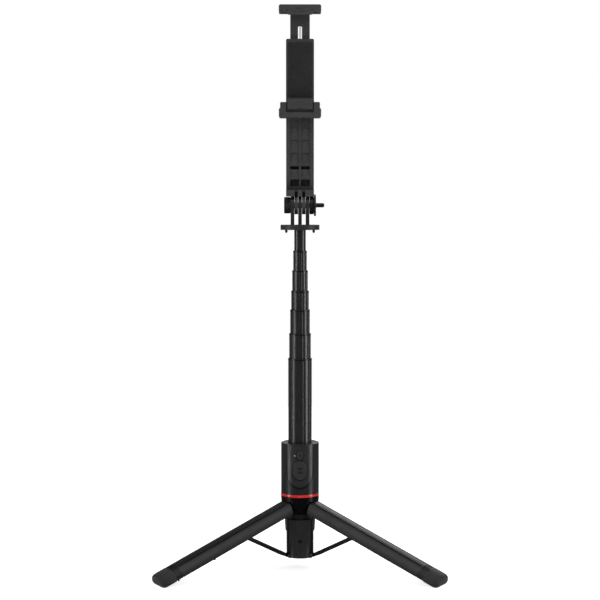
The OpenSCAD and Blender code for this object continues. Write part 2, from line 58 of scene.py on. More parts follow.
# ---------- camera, floor and light ----------
CAMERA_PLACE = (0, -1.233, 0.300)
CAMERA_TARGET = (0, 0, 0.2235)
CAMERA_LENS = 89.3
FLOOR_RADIUS = 1.0
FLOOR_DROP = 0.05 * MM           # the floor lies just under the soles
FLOOR_GLOW = 0.75                # makes the floor as white as the backdrop
SURROUND = 0.12                  # light from all round, apart from the lamps
LIGHT_TARGET = (0, 0, 0.22)
LIGHTS = {                       # place, width, height, power
    "left_strip": ((-0.95, -0.35, 0.42), 0.16, 1.3, 7),
    "right_strip": ((0.95, -0.35, 0.40), 0.20, 1.3, 8),
    "top_box": ((0, -0.25, 1.35), 1.1, 0.9, 6),
    "front_fill": ((-0.5, -1.5, 1.1), 0.5, 0.5, 2),
    "back_rim": ((0.3, 0.95, 0.75), 0.9, 0.6, 4),
}


def aim(obj, target):
    obj.rotation_mode = "QUATERNION"
    obj.rotation_quaternion = (Vector(target) - obj.location).to_track_quat("-Z", "Y")


def make_camera():
    camera = bpy.data.objects.new("camera", bpy.data.cameras.new("camera"))
    camera.location = CAMERA_PLACE
    camera.data.lens = CAMERA_LENS
    camera.data.clip_start = 0.05
    aim(camera, CAMERA_TARGET)
    scene.collection.objects.link(camera)
    scene.camera = camera


def soft_light(name, place, target, width, height, power):
    lamp = bpy.data.lights.new(name, "AREA")
    lamp.shape = "RECTANGLE"
    lamp.size, lamp.size_y = width, height
    lamp.energy = power
    obj = bpy.data.objects.new(name, lamp)
    obj.location = place
    aim(obj, target)
    scene.collection.objects.link(obj)


def make_floor():
    bm = bmesh.new()
    bmesh.ops.create_circle(bm, cap_ends=True, segments=ROUND, radius=FLOOR_RADIUS)
    mesh = bpy.data.meshes.new("floor")
    bm.to_mesh(mesh)
    bm.free()
    floor = bpy.data.objects.new("floor", mesh)
    floor.location = (0, 0, -FLOOR_DROP)
    scene.collection.objects.link(floor)
    floor.visible_glossy = False
    mat = bpy.data.materials.new("studio_floor")
    mat.use_nodes = True
    shader = mat.node_tree.nodes["Principled BSDF"]
    shader.inputs["Base Color"].default_value = (0.93, 0.93, 0.93, 1)
    shader.inputs["Roughness"].default_value = 0.7
    shader.inputs["Specular IOR Level"].default_value = 0.2
    shader.inputs["Emission Color"].default_value = (1, 1, 1, 1)
    shader.inputs["Emission Strength"].default_value = FLOOR_GLOW
    mesh.materials.append(mat)


def make_studio():
    """Soft lamps in a dim surround, before a backdrop that the camera sees as white."""
    world = bpy.data.worlds.new("studio")
    world.use_nodes = True
    tree = world.node_tree
    surround = tree.nodes["Background"]
    surround.inputs["Color"].default_value = (1, 1, 1, 1)
    surround.inputs["Strength"].default_value = SURROUND
    backdrop = tree.nodes.new("ShaderNodeBackground")
    backdrop.inputs["Color"].default_value = (1, 1, 1, 1)
    seen = tree.nodes.new("ShaderNodeLightPath")
    either = tree.nodes.new("ShaderNodeMixShader")
    tree.links.new(seen.outputs["Is Camera Ray"], either.inputs["Fac"])
    tree.links.new(surround.outputs[0], either.inputs[1])
    tree.links.new(backdrop.outputs[0], either.inputs[2])
    tree.links.new(either.outputs[0], tree.nodes["World Output"].inputs["Surface"])
    scene.world = world
    for name, (place, width, height, power) in LIGHTS.items():
        soft_light(name, place, LIGHT_TARGET, width, height, power)
    scene.view_settings.view_transform = "Standard"


# ---------- materials ----------
class Shade:
    """A material's node tree, with short words for the nodes that it is built from."""

    def __init__(self, name):
        self.mat = bpy.data.materials.new(name)
        self.mat.use_nodes = True
        self.tree = self.mat.node_tree
        self.shader = self.tree.nodes["Principled BSDF"]
        self.coords = self.tree.nodes.new("ShaderNodeTexCoord").outputs["Object"]

    def node(self, kind, **settings):
        made = self.tree.nodes.new(kind)
        for key, value in settings.items():
            setattr(made, key, value)
        return made

    def link(self, out, into):
        self.tree.links.new(out, into)

    def stretched(self, scale):
        mapping = self.node("ShaderNodeMapping")
        mapping.inputs["Scale"].default_value = scale
        self.link(self.coords, mapping.inputs["Vector"])
        return mapping.outputs["Vector"]

    def noise(self, scale, detail=3.0, vector=None, rough=0.55):
        made = self.node("ShaderNodeTexNoise")
        made.inputs["Scale"].default_value = scale
        made.inputs["Detail"].default_value = detail
        made.inputs["Roughness"].default_value = rough
        self.link(vector or self.coords, made.inputs["Vector"])
        return made.outputs["Fac"]

    def remap(self, value, low, high, from_low=0.3, from_high=0.7):
        made = self.node("ShaderNodeMapRange")
        made.inputs["From Min"].default_value = from_low
        made.inputs["From Max"].default_value = from_high
        made.inputs["To Min"].default_value = low
        made.inputs["To Max"].default_value = high
        self.link(value, made.inputs["Value"])
        return made.outputs["Result"]

    def blend(self, value, dark, light):
        ramp = self.node("ShaderNodeValToRGB")
        ramp.color_ramp.elements[0].color = (*dark, 1)
        ramp.color_ramp.elements[1].color = (*light, 1)
        ramp.color_ramp.elements[0].position = 0.35
        ramp.color_ramp.elements[1].position = 0.68
        self.link(value, ramp.inputs["Fac"])
        return ramp.outputs["Color"]

    def colour(self, out):
        self.link(out, self.shader.inputs["Base Color"])

    def roughness(self, out):
        self.link(out, self.shader.inputs["Roughness"])

    def bump(self, heights, depth, strength=0.6):
        made = self.node("ShaderNodeBump")
        made.inputs["Strength"].default_value = strength
        made.inputs["Distance"].default_value = depth
        self.link(heights, made.inputs["Height"])
        self.link(made.outputs["Normal"], self.shader.inputs["Normal"])

    def set(self, **values):
        for key, value in values.items():
            self.shader.inputs[key.replace("_", " ")].default_value = value
        return self.mat


def moulded_plastic(name, dark, light, rough, shine, grain, depth):
    """Spark-eroded moulded plastic: a fine even grain, with slow changes of tone and sheen."""
    s = Shade(name)
    s.colour(s.blend(s.noise(38, 4), dark, light))
    s.roughness(s.remap(s.noise(95, 5), rough - 0.05, rough + 0.05))
    s.bump(s.noise(grain, 2), depth * MM)
    return s.set(Specular_IOR_Level=shine)


def gloss_pole(name):
    """Black lacquered metal, with faint drawn lines along the tube."""
    s = Shade(name)
    drawn = s.noise(1, 3, s.stretched((620, 620, 7)))
    s.colour(s.blend(s.noise(30, 3), (0.008, 0.008, 0.0085), (0.012, 0.012, 0.0128)))
    s.roughness(s.remap(drawn, 0.30, 0.34))
    return s.set(Specular_IOR_Level=0.42, Coat_Weight=0.1, Coat_Roughness=0.2)


def rubber(name, dark, light, rough):
    s = Shade(name)
    s.colour(s.blend(s.noise(60, 5), dark, light))
    s.roughness(s.remap(s.noise(160, 4), rough - 0.07, rough + 0.07))
    s.bump(s.noise(3400, 3), 0.03 * MM, 0.7)
    return s.set(Specular_IOR_Level=0.3, Sheen_Weight=0.08, Sheen_Roughness=0.5)


def red_trim():
    s = Shade("red_trim")
    s.colour(s.blend(s.noise(55, 3), (0.42, 0.007, 0.008), (0.54, 0.013, 0.013)))
    s.roughness(s.remap(s.noise(220, 4), 0.20, 0.32))
    s.bump(s.noise(3000, 2), 0.005 * MM, 0.4)
    return s.set(Specular_IOR_Level=0.55, Coat_Weight=0.25, Coat_Roughness=0.1)


def brushed_steel():
    s = Shade("brushed_steel")
    grain = s.noise(1, 4, s.stretched((900, 900, 5200)))
    s.colour(s.blend(grain, (0.36, 0.365, 0.37), (0.56, 0.565, 0.57)))
    s.roughness(s.remap(grain, 0.24, 0.42))
    s.bump(grain, 0.006 * MM, 0.5)
    return s.set(Metallic=1.0)


def blackened_steel():
    s = Shade("blackened_steel")
    grain = s.noise(1, 4, s.stretched((1200, 1200, 4200)))
    s.colour(s.blend(grain, (0.030, 0.030, 0.033), (0.075, 0.075, 0.080)))
    s.roughness(s.remap(grain, 0.28, 0.46))
    s.bump(grain, 0.006 * MM, 0.5)
    return s.set(Metallic=1.0)


def slide_plastic():
    s = Shade("slide_plastic")
    s.colour(s.blend(s.noise(70, 4), (0.66, 0.64, 0.58), (0.78, 0.77, 0.72)))
    s.roughness(s.remap(s.noise(180, 3), 0.38, 0.52))
    s.bump(s.noise(2600, 2), 0.008 * MM)
    return s.set(Subsurface_Weight=0.05)


def board_green():
    s = Shade("board_green")
    s.colour(s.blend(s.noise(420, 2), (0.010, 0.085, 0.035), (0.018, 0.14, 0.06)))
    s.roughness(s.remap(s.noise(900, 2), 0.25, 0.4))
    s.bump(s.noise(1500, 2), 0.02 * MM)
    return s.set(Specular_IOR_Level=0.5)


def light_lens():
    s = Shade("light_lens")
    s.colour(s.blend(s.noise(900, 2), (0.42, 0.52, 0.60), (0.60, 0.70, 0.78)))
    s.roughness(s.remap(s.noise(900, 2), 0.12, 0.22))
    return s.set(Transmission_Weight=0.35, IOR=1.49)


def printed_mark():
    s = Shade("printed_mark")
    s.colour(s.blend(s.noise(1400, 3), (0.0008, 0.0008, 0.001), (0.002, 0.002, 0.0022)))
    s.roughness(s.remap(s.noise(900, 2), 0.42, 0.55))
    return s.set(Specular_IOR_Level=0.1)


PLASTICS = {                     # darkest and lightest tone, roughness, shine, grain, its depth
    "grip_plastic": ((0.0095, 0.0095, 0.010), (0.0135, 0.0135, 0.014), 0.36, 0.30, 5200, 0.005),
    # hub: black plastic, its tone pushed near zero as painted shade for its place under the collar and between the
    # leg ends
    "hub_plastic": ((0.001, 0.001, 0.0012), (0.0022, 0.0022, 0.0025), 0.30, 0.13, 5200, 0.005),
    "column_plastic": ((0.018, 0.018, 0.0185), (0.025, 0.025, 0.0255), 0.36, 0.38, 5200, 0.005),
    "leg_plastic": ((0.0055, 0.0055, 0.006), (0.0095, 0.0095, 0.0105), 0.38, 0.32, 4200, 0.006),
    "head_plastic": ((0.014, 0.014, 0.0145), (0.021, 0.021, 0.0215), 0.48, 0.30, 5200, 0.005),
    "knob_plastic": ((0.005, 0.005, 0.006), (0.0095, 0.0095, 0.011), 0.42, 0.38, 5200, 0.005),
    "holder_plastic": ((0.036, 0.036, 0.037), (0.046, 0.046, 0.047), 0.38, 0.38, 4600, 0.006),
    "remote_plastic": ((0.015, 0.015, 0.0155), (0.020, 0.020, 0.0205), 0.32, 0.34, 6200, 0.004),
    "button_plastic": ((0.022, 0.022, 0.0225), (0.028, 0.028, 0.0285), 0.34, 0.34, 6200, 0.004),
    "stay_metal": ((0.0022, 0.0022, 0.0025), (0.0045, 0.0045, 0.005), 0.32, 0.25, 2400, 0.006),
    "ring_plastic": ((0.002, 0.002, 0.0025), (0.0045, 0.0045, 0.005), 0.30, 0.38, 5200, 0.005),
}


def make_finishes():
    """One finish for each of the record's material slots, and one for the printed marks."""
    made = {name: moulded_plastic(name, *values) for name, values in PLASTICS.items()}
    made.update({
        "foot_rubber": rubber("foot_rubber", (0.008, 0.008, 0.0085), (0.013, 0.013, 0.0135), 0.6),
        "pad_rubber": rubber("pad_rubber", (0.009, 0.009, 0.0095), (0.016, 0.016, 0.0165), 0.76),
        "pole_gloss": gloss_pole("pole_gloss"),
        "red_trim": red_trim(),
        "steel": brushed_steel(),
        "dark_steel": blackened_steel(),
        "slide_plastic": slide_plastic(),
        "board": board_green(),
        "light_lens": light_lens(),
        "printed_mark": printed_mark(),
    })
    return made


# ---------- mesh tools ----------
def solid(name, bm):
    """A loose object of a bmesh, at the origin, with its normals outward."""
    bmesh.ops.remove_doubles(bm, verts=bm.verts, dist=1e-7)
    bmesh.ops.recalc_face_normals(bm, faces=bm.faces)
    mesh = bpy.data.meshes.new(name)
    bm.to_mesh(mesh)
    bm.free()
    obj = bpy.data.objects.new(name, mesh)
    scene.collection.objects.link(obj)
    return obj


def placed(obj, matrix):
    obj.data.transform(matrix)
    return obj


def lathe(name, profile, steps=ROUND, ripple=None):
    """A closed profile of (radius, height) turned about Z. ripple(angle, r, z) gives a new radius."""
    bm = bmesh.new()
    rings = []
    for i in range(steps):
        a = 2 * HALF_TURN * i / steps
        row = []
        for r, z in profile:
            rr = ripple(a, r, z) if ripple else r
            row.append(bm.verts.new((rr * math.cos(a), rr * math.sin(a), z)))
        rings.append(row)
    n = len(profile)
    for i in range(steps):
        a, b = rings[i], rings[(i + 1) % steps]
        for j in range(n):
            k = (j + 1) % n
            corners = [a[j], b[j], b[k], a[k]]
            if profile[j][0] < 1e-9 and profile[k][0] < 1e-9:
                continue
            if profile[j][0] < 1e-9:
                corners = [a[j], b[k], a[k]]
            elif profile[k][0] < 1e-9:
                corners = [a[j], b[j], a[k]]
            bm.faces.new(corners)
    return solid(name, bm)


def rounded(points, radius, steps=4):
    """A profile with each corner replaced by a short arc; a corner may carry its own radius."""
    out = []
    n = len(points)
    for i, p in enumerate(points):
        own = p[2] if len(p) > 2 else radius
        here = Vector(p[:2])
        before = Vector(points[i - 1][:2]) - here
        after = Vector(points[(i + 1) % n][:2]) - here
        if own <= 0 or before.length < 1e-9 or after.length < 1e-9:
            out.append(tuple(here))
            continue
        reach = min(own, before.length * 0.49, after.length * 0.49)
        a, b = here + before.normalized() * reach, here + after.normalized() * reach
        for k in range(steps + 1):
            t = k / steps
            out.append(tuple(a * (1 - t) ** 2 + here * 2 * t * (1 - t) + b * t ** 2))
    return out


def arc(cx, cy, r, start, end, steps):
    """Points along an arc, from start to end degrees."""
    turn = [math.radians(start + (end - start) * i / steps) for i in range(steps + 1)]
    return [(cx + r * math.cos(t), cy + r * math.sin(t)) for t in turn]


def slab(name, outline, low, high, matrix=None):
    """An outline in x and y, raised from low to high along z, then placed."""
    bm = bmesh.new()
    loops = [[bm.verts.new((x, y, z)) for x, y in outline] for z in (low, high)]
    bm.faces.new(list(reversed(loops[0])))
    bm.faces.new(loops[1])
    n = len(outline)
    for i in range(n):
        j = (i + 1) % n
        bm.faces.new((loops[0][i], loops[0][j], loops[1][j], loops[1][i]))
    made = solid(name, bm)
    return placed(made, matrix) if matrix else made


# outlines drawn in x and z stand upright, and are raised towards the front
UPRIGHT = Matrix(((1, 0, 0, 0), (0, 0, -1, 0), (0, 1, 0, 0), (0, 0, 0, 1)))


def upright(name, outline, back_y, front_y):
    return slab(name, outline, -back_y, -front_y, UPRIGHT)


def side_slab(name, outline, low, high):
    """An outline in x and z, raised along y."""
    turn = Matrix(((1, 0, 0, 0), (0, 0, 1, 0), (0, 1, 0, 0), (0, 0, 0, 1)))
    return slab(name, outline, low, high, turn)


def rounded_box(w, low, high, radius, mid=0.0):
    """A rounded rectangle in x and z, as points."""
    corners = [(mid - w / 2, low), (mid + w / 2, low), (mid + w / 2, high), (mid - w / 2, high)]
    return rounded(corners, radius, 8)


def across(name, outline, low_x, high_x):
    """An outline in y and z, raised along x."""
    turn = Matrix(((0, 0, 1, 0), (1, 0, 0, 0), (0, 1, 0, 0), (0, 0, 0, 1)))
    return slab(name, outline, low_x, high_x, turn)


def rod(name, r, low_x, high_x, y, z, steps=64):
    return across(name, [(y + py, z + pz) for py, pz in arc(0, 0, r, 0, 360, steps)[:-1]],
                  low_x, high_x)


def box_of(name, x, y, z):
    return across(name, [(y[0], z[0]), (y[1], z[0]), (y[1], z[1]), (y[0], z[1])], *x)


def tool(op, target, cutters):
    for c in cutters:
        mod = target.modifiers.new("cut", "BOOLEAN")
        mod.operation = op
        mod.solver = "EXACT"
        mod.object = c
    baked(target)
    for c in cutters:
        bpy.data.objects.remove(c)
    return target


def cut(target, *cutters):
    return tool("DIFFERENCE", target, cutters)


def fuse(target, *others):
    return tool("UNION", target, others)


def common(target, *others):
    return tool("INTERSECT", target, others)


def baked(obj):
    """The object with its modifiers made into its mesh."""
    bpy.context.view_layer.update()
    dg = bpy.context.evaluated_depsgraph_get()
    mesh = bpy.data.meshes.new_from_object(obj.evaluated_get(dg))
    obj.modifiers.clear()
    obj.data = mesh
    return obj


def tidy(obj, flat=0.4):
    """Merges close points and joins faces that lie in one plane, after cuts."""
    bm = bmesh.new()
    bm.from_mesh(obj.data)
    bmesh.ops.remove_doubles(bm, verts=bm.verts, dist=0.004 * MM)
    bmesh.ops.dissolve_degenerate(bm, dist=0.004 * MM, edges=bm.edges)
    bmesh.ops.dissolve_limit(bm, angle_limit=math.radians(flat), verts=bm.verts,
                             edges=bm.edges)
    bm.to_mesh(obj.data)
    bm.free()
    return obj


def soften(obj, width, segments=3, angle=32):
    """Rounds the edges and evens out the shading."""
    mod = obj.modifiers.new("rounded edges", "BEVEL")
    mod.width = width
    mod.segments = segments
    mod.limit_method = "ANGLE"
    mod.angle_limit = math.radians(angle)
    mod.miter_outer = "MITER_ARC"
    mod.use_clamp_overlap = True
    even = obj.modifiers.new("even shading", "WEIGHTED_NORMAL")
    even.keep_sharp = True
    return obj


def smooth(obj, angle=40):
    for p in obj.data.polygons:
        p.use_smooth = True
    obj.data.set_sharp_from_angle(angle=math.radians(angle))
    return obj


finishes = {}


def piece(obj, body, finish, stands_for=(), angle=40):
    """Gives a made object its finish and its body, and hides the CAD nodes that it stands for."""
    obj.data.materials.clear()
    obj.data.materials.append(finishes[finish])
    smooth(obj, angle)
    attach(obj, body)
    if stands_for:
        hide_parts(*stands_for)
    return obj


def body_of(node):
    for body, members in frame["record"]["behaviour"]["bodies"].items():
        if node in members:
            return body
    raise KeyError(node)


def edged_copy(node, width, segments=3, angle=32):
    """A merged copy of a CAD node with its edges rounded."""
    bm = bmesh.new()
    bm.from_mesh(nodes[node].data)
    bmesh.ops.remove_doubles(bm, verts=bm.verts, dist=0.002 * MM)
    bmesh.ops.dissolve_limit(bm, angle_limit=math.radians(0.4), verts=bm.verts,
                             edges=bm.edges)
    mesh = bpy.data.meshes.new(node + "_finished")
    bm.to_mesh(mesh)
    bm.free()
    obj = bpy.data.objects.new(node + "_finished", mesh)
    scene.collection.objects.link(obj)
    soften(obj, width, segments, angle)
    return piece(obj, body_of(node), node_slot[node], (node,))


# ---------- node tree tools ----------
def new_tree(name, **inputs):
    """An empty Geometry Nodes tree: inputs gives the labels for each kind of socket."""
    tree = bpy.data.node_groups.new(name, "GeometryNodeTree")
    face = tree.interface
    face.new_socket("Geometry", in_out="OUTPUT", socket_type="NodeSocketGeometry")
    for kind, labels in inputs.items():
        for label in labels:
            face.new_socket(label, in_out="INPUT", socket_type="NodeSocket" + kind)
    face.new_socket("Finish", in_out="INPUT", socket_type="NodeSocketMaterial")
    return tree, tree.nodes.new("NodeGroupInput").outputs


def end_tree(tree, result, finish):
    """Realizes the result, gives it its material and hands it out."""
    new, link = tree.nodes.new, tree.links.new
    real = new("GeometryNodeRealizeInstances")
    link(result, real.inputs[0])
    dress = new("GeometryNodeSetMaterial")
    link(real.outputs[0], dress.inputs["Geometry"])
    link(finish, dress.inputs["Material"])
    link(dress.outputs[0], new("NodeGroupOutput").inputs[0])
    return tree


def run_tree(name, tree, values):
    """A plain mesh object of a node tree's result, its inputs set by socket identifier."""
    obj = bpy.data.objects.new(name, bpy.data.meshes.new(name))
    scene.collection.objects.link(obj)
    mod = obj.modifiers.new("nodes", "NODES")
    mod.node_group = tree
    for socket in tree.interface.items_tree:
        if getattr(socket, "in_out", "") == "INPUT" and socket.name in values:
            mod[socket.identifier] = values[socket.name]
    return baked(obj)


# ---------- the pole ----------
TUBE_COUNT = 7
TUBE_WALL = 0.55 * MM
RING_PROUD = 0.12 * MM           # how far an end ring stands out from its tube
FLUTES = (-123, -100, -70, -38, 57, 80, 110, 142)    # bearings, in degrees
FLUTE_DEPTH = 0.17 * MM
FLUTE_WIDTH = 1.75 * MM


def fluted_tube_tree():
    """Geometry Nodes: a tube along Z whose wall carries shallow flutes at fixed bearings."""
    tree, given = new_tree("fluted_tube", Float=("Radius", "Bottom", "Top", "Flute Depth",
                                                 "Flute Width"))
    new, link = tree.nodes.new, tree.links.new

    def maths(kind, a, b=None):
        n = new("ShaderNodeMath")
        n.operation = kind
        for value, socket in zip((a, b), n.inputs):
            if value is None:
                continue
            if isinstance(value, (int, float)):
                socket.default_value = value
            else:
                link(value, socket)
        return n.outputs[0]

    line = new("GeometryNodeCurvePrimitiveLine")
    for label, end in (("Bottom", "Start"), ("Top", "End")):
        point = new("ShaderNodeCombineXYZ")
        link(given[label], point.inputs["Z"])
        link(point.outputs[0], line.inputs[end])
    ring = new("GeometryNodeCurvePrimitiveCircle")
    ring.inputs["Resolution"].default_value = 288
    link(given["Radius"], ring.inputs["Radius"])
    sweep = new("GeometryNodeCurveToMesh")
    link(line.outputs[0], sweep.inputs["Curve"])
    link(ring.outputs["Curve"], sweep.inputs["Profile Curve"])
    where = new("ShaderNodeSeparateXYZ")
    link(new("GeometryNodeInputPosition").outputs[0], where.inputs[0])
    bearing = maths("ARCTAN2", where.outputs["Y"], where.outputs["X"])
    total = None
    for degrees in FLUTES:
        away = maths("SUBTRACT", bearing, math.radians(degrees))
        away = maths("ABSOLUTE", maths("ARCTAN2", maths("SINE", away), maths("COSINE", away)))
        across = maths("DIVIDE", maths("MULTIPLY", away, given["Radius"]), given["Flute Width"])
        fall = new("ShaderNodeMapRange")
        fall.interpolation_type = "SMOOTHSTEP"
        link(across, fall.inputs["Value"])
        fall.inputs["From Min"].default_value = 0.36
        fall.inputs["From Max"].default_value = 0.56
        fall.inputs["To Min"].default_value = 1
        fall.inputs["To Max"].default_value = 0
        total = fall.outputs[0] if total is None else maths("ADD", total, fall.outputs[0])
    shrink = maths("DIVIDE", maths("MULTIPLY", total, given["Flute Depth"]), given["Radius"])
    inward = new("ShaderNodeCombineXYZ")
    for axis in "XY":
        link(maths("MULTIPLY", where.outputs[axis], maths("MULTIPLY", shrink, -1)),
             inward.inputs[axis])
    shape = new("GeometryNodeSetPosition")
    link(sweep.outputs[0], shape.inputs["Geometry"])
    link(inward.outputs[0], shape.inputs["Offset"])
    return end_tree(tree, shape.outputs[0], given["Finish"])


def make_pole():
    tree = fluted_tube_tree()
    for i in range(1, TUBE_COUNT + 1):
        node = f"tube_{i}"
        low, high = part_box(node)
        r = (high.x - low.x) / 2 if i == TUBE_COUNT else tube_radius(i)
        made = run_tree(f"pole_section_{i}", tree, {
            "Radius": r, "Bottom": low.z, "Top": high.z,
            "Flute Depth": 0.0 if i == TUBE_COUNT else FLUTE_DEPTH,
            "Flute Width": FLUTE_WIDTH, "Finish": finishes["pole_gloss"]})
        shell = made.modifiers.new("wall", "SOLIDIFY")
        shell.thickness = TUBE_WALL
        shell.offset = -1
        baked(made)
        bm = bmesh.new()
        bm.from_mesh(made.data)
        bmesh.ops.recalc_face_normals(bm, faces=bm.faces)
        bm.to_mesh(made.data)
        bm.free()
        piece(made, body_of(node), "pole_gloss", (node,), 30)
        if i < TUBE_COUNT:
            make_end_ring(i, r)


def tube_radius(i):
    low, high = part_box(f"end_ring_{i}")
    return (high.x - low.x) / 2 - RING_PROUD


def make_end_ring(i, r):
    low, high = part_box(f"end_ring_{i}")
    out, bore = r + RING_PROUD, r - TUBE_WALL
    profile = rounded([(bore, low.z), (out, low.z), (out, high.z, 0.45 * MM),
                       (bore, high.z)], 0.12 * MM)
    ring = lathe(f"end_cap_{i}", profile)
    piece(ring, body_of(f"end_ring_{i}"), "ring_plastic", (f"end_ring_{i}",))


# ---------- the grip ----------
def u_outline(half_w, low, high, steps=40):
    """The remote's outline: straight sides, with a half-round foot."""
    centre = low + half_w
    foot = arc(0, centre, half_w, 180, 360, steps)
    return foot + [(half_w, high), (-half_w, high)]


def stadium(w, h, z, steps=24):
    r = w / 2
    rise = h / 2 - r
    return arc(0, z + rise, r, 0, 180, steps) + arc(0, z - rise, r, 180, 360, steps)


GRIP_BORE = 10.1 * MM
BAND_BORE = 12.9 * MM
DOCK_GAP = 0.42 * MM             # seam between the remote and its dock
NOTCH_R, NOTCH_RISE = 9.2 * MM, 7.6 * MM
PIN_HOLE_R, PIN_HOLE_DEPTH = 1.4 * MM, 4 * MM
PIN_HOLE_X, PIN_HOLE_Y = 11.4 * MM, 6.6 * MM
BUTTON_GAPS = {"shutter_button": 0.5 * MM, "power_button": 0.42 * MM}


def make_grip():
    """The collar, with the remote's dock, a thumb notch under it and two sockets on top."""
    low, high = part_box("collar_shell")
    r = (high.x - low.x) / 2
    bore = GRIP_BORE
    shell = lathe("collar_blank", rounded([(bore, low.z), (r, low.z, 0.25 * MM),
                                           (r, high.z, 0.7 * MM), (bore, high.z, 0.3 * MM)],
                                          0.1 * MM, 5))
    r_low, r_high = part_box("remote_front")
    dock_back = r_high.y + 0.15 * MM
    half_w = r_high.x + DOCK_GAP
    dock = upright("dock", u_outline(half_w, r_low.z - DOCK_GAP, high.z + 1 * MM),
                   dock_back, -r - 2 * MM)
    notch = upright("notch", arc(0, r_low.z + NOTCH_RISE, NOTCH_R, 0, 360, 72)[:-1],
                    -r + 1.4 * MM, -r - 2 * MM)
    hole_low, hole_high = high.z - PIN_HOLE_DEPTH, high.z + 1 * MM
    holes = []
    for s in (-1, 1):
        hole = lathe(f"pin_hole_{s}", [(0, hole_low), (PIN_HOLE_R, hole_low),
                                       (PIN_HOLE_R, hole_high), (0, hole_high)], 32)
        holes.append(placed(hole, Matrix.Translation((s * PIN_HOLE_X, PIN_HOLE_Y, 0))))
    cut(shell, dock, notch, *holes)
    tidy(shell)
    soften(shell, 0.45 * MM)
    shell.name = "collar"
    piece(shell, "grip", "grip_plastic", ("collar_shell",))

    low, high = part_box("accent_ring")
    out = (high.x - low.x) / 2
    band = lathe("red_band", rounded([(BAND_BORE, low.z), (out, low.z), (out, high.z),
                                      (BAND_BORE, high.z)], 0.3 * MM))
    piece(band, "grip", "red_trim", ("accent_ring",))


def crowned(name, loop, radius, proud, crown, back, rim=0.35 * MM, dish=0):
    """A cap over a closed loop in x and z, on a cylinder about Z, with a round rim."""
    cx = sum(p[0] for p in loop) / len(loop)
    cz = sum(p[1] for p in loop) / len(loop)
    bm = bmesh.new()

    def ring(scale_in, lift):
        row = []
        for x, z in loop:
            dx, dz = x - cx, z - cz
            length = math.hypot(dx, dz)
            f = max(0.0, (length - scale_in) / length)
            px, pz = cx + dx * f, cz + dz * f
            row.append(bm.verts.new((px, -math.sqrt(radius ** 2 - px ** 2) - lift, pz)))
        return row

    rows = []
    back_row = [bm.verts.new((x, back, z)) for x, z in loop]
    rows.append(back_row)
    turns = 5
    rows.append(ring(0, proud - rim))
    for k in range(1, turns + 1):
        a = math.pi / 2 * k / turns
        rows.append(ring(rim * (1 - math.cos(a)), proud - rim + rim * math.sin(a)))
    inner = min(math.hypot(x - cx, z - cz) for x, z in loop)
    for k in range(1, 7):
        t = k / 7
        rows.append(ring(rim + (inner - rim) * t * 0.97, proud + crown * math.sin(t * math.pi / 2)
                         - dish * max(0.0, math.sin((t - 0.25) / 0.75 * math.pi / 2))))
    for a, b in zip(rows, rows[1:]):
        for i in range(len(loop)):
            j = (i + 1) % len(loop)
            bm.faces.new((a[i], a[j], b[j], b[i]))
    bm.faces.new(rows[-1])
    bm.faces.new(list(reversed(back_row)))
    return solid(name, bm)


def make_remote():
    low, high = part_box("remote_front")
    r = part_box("collar_shell")[1].x
    half_w = high.x
    body = upright("remote_blank", u_outline(half_w, low.z, high.z), high.y, -r - 2 * MM)
    barrel = lathe("barrel", [(0, low.z - 5 * MM), (r, low.z - 5 * MM), (r, high.z + 5 * MM),
                              (0, high.z + 5 * MM)], 288)
    common(body, barrel)
    openings = []
    for node, extra in BUTTON_GAPS.items():
        b_low, b_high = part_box(node)
        w, h = b_high.x - b_low.x + 2 * extra, b_high.z - b_low.z + 2 * extra
        openings.append(upright(node + "_hole", stadium(w, h, (b_low.z + b_high.z) / 2),
                                b_high.y + 0.6 * MM, -r - 2 * MM))
    l_low, l_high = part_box("status_light")
    spot = arc((l_low.x + l_high.x) / 2, (l_low.z + l_high.z) / 2, 0.56 * MM, 0, 360, 32)[:-1]
    openings.append(upright("light_hole", spot, l_high.y, -r - 2 * MM))
    cut(body, *openings)
    tidy(body)
    soften(body, 0.42 * MM)
    body.name = "remote_shell"
    piece(body, "remote", "remote_plastic", ("remote_front",))

    for node, crown, dish in (("shutter_button", 0.0, 0.28 * MM), ("power_button", 0.10 * MM, 0)):
        b_low, b_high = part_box(node)
        loop = stadium(b_high.x - b_low.x, b_high.z - b_low.z, (b_low.z + b_high.z) / 2)
        cap = crowned(node + "_cap", loop, r, 0.28 * MM - crown, crown, b_high.y, dish=dish)
        piece(cap, body_of(node), "button_plastic", (node,))
    make_marks(r)
    lens = crowned("light_lens", arc((l_low.x + l_high.x) / 2, (l_low.z + l_high.z) / 2,
                                     0.5 * MM, 0, 360, 28)[:-1], r, 0.02 * MM, 0.05 * MM,
                   l_high.y, rim=0.05 * MM)
    piece(lens, "remote", "light_lens", ("status_light",))


def wrapped(name, loops, radius, lift, thick):
    """Flat marks, wrapped on a cylinder about Z: each of loops is (outer, inner or None)."""
    bm = bmesh.new()

    def skin(x, z, out):
        return bm.verts.new((x, -math.sqrt(max(radius ** 2 - x ** 2, 0)) - out, z))

    for outer, inner in loops:
        n = len(outer)
        sides = [[skin(x, z, o) for x, z in outer] for o in (lift - thick, lift)]
        holes = inner and [[skin(x, z, o) for x, z in inner] for o in (lift - thick, lift)]
        for i in range(n):
            j = (i + 1) % n
            bm.faces.new((sides[0][i], sides[0][j], sides[1][j], sides[1][i]))
            if holes:
                bm.faces.new((holes[0][i], holes[0][j], holes[1][j], holes[1][i]))
                for k in (0, 1):
                    bm.faces.new((sides[k][i], sides[k][j], holes[k][j], holes[k][i]))
        if not holes:
            for side in sides:
                bm.faces.new(side)
    return solid(name, bm)


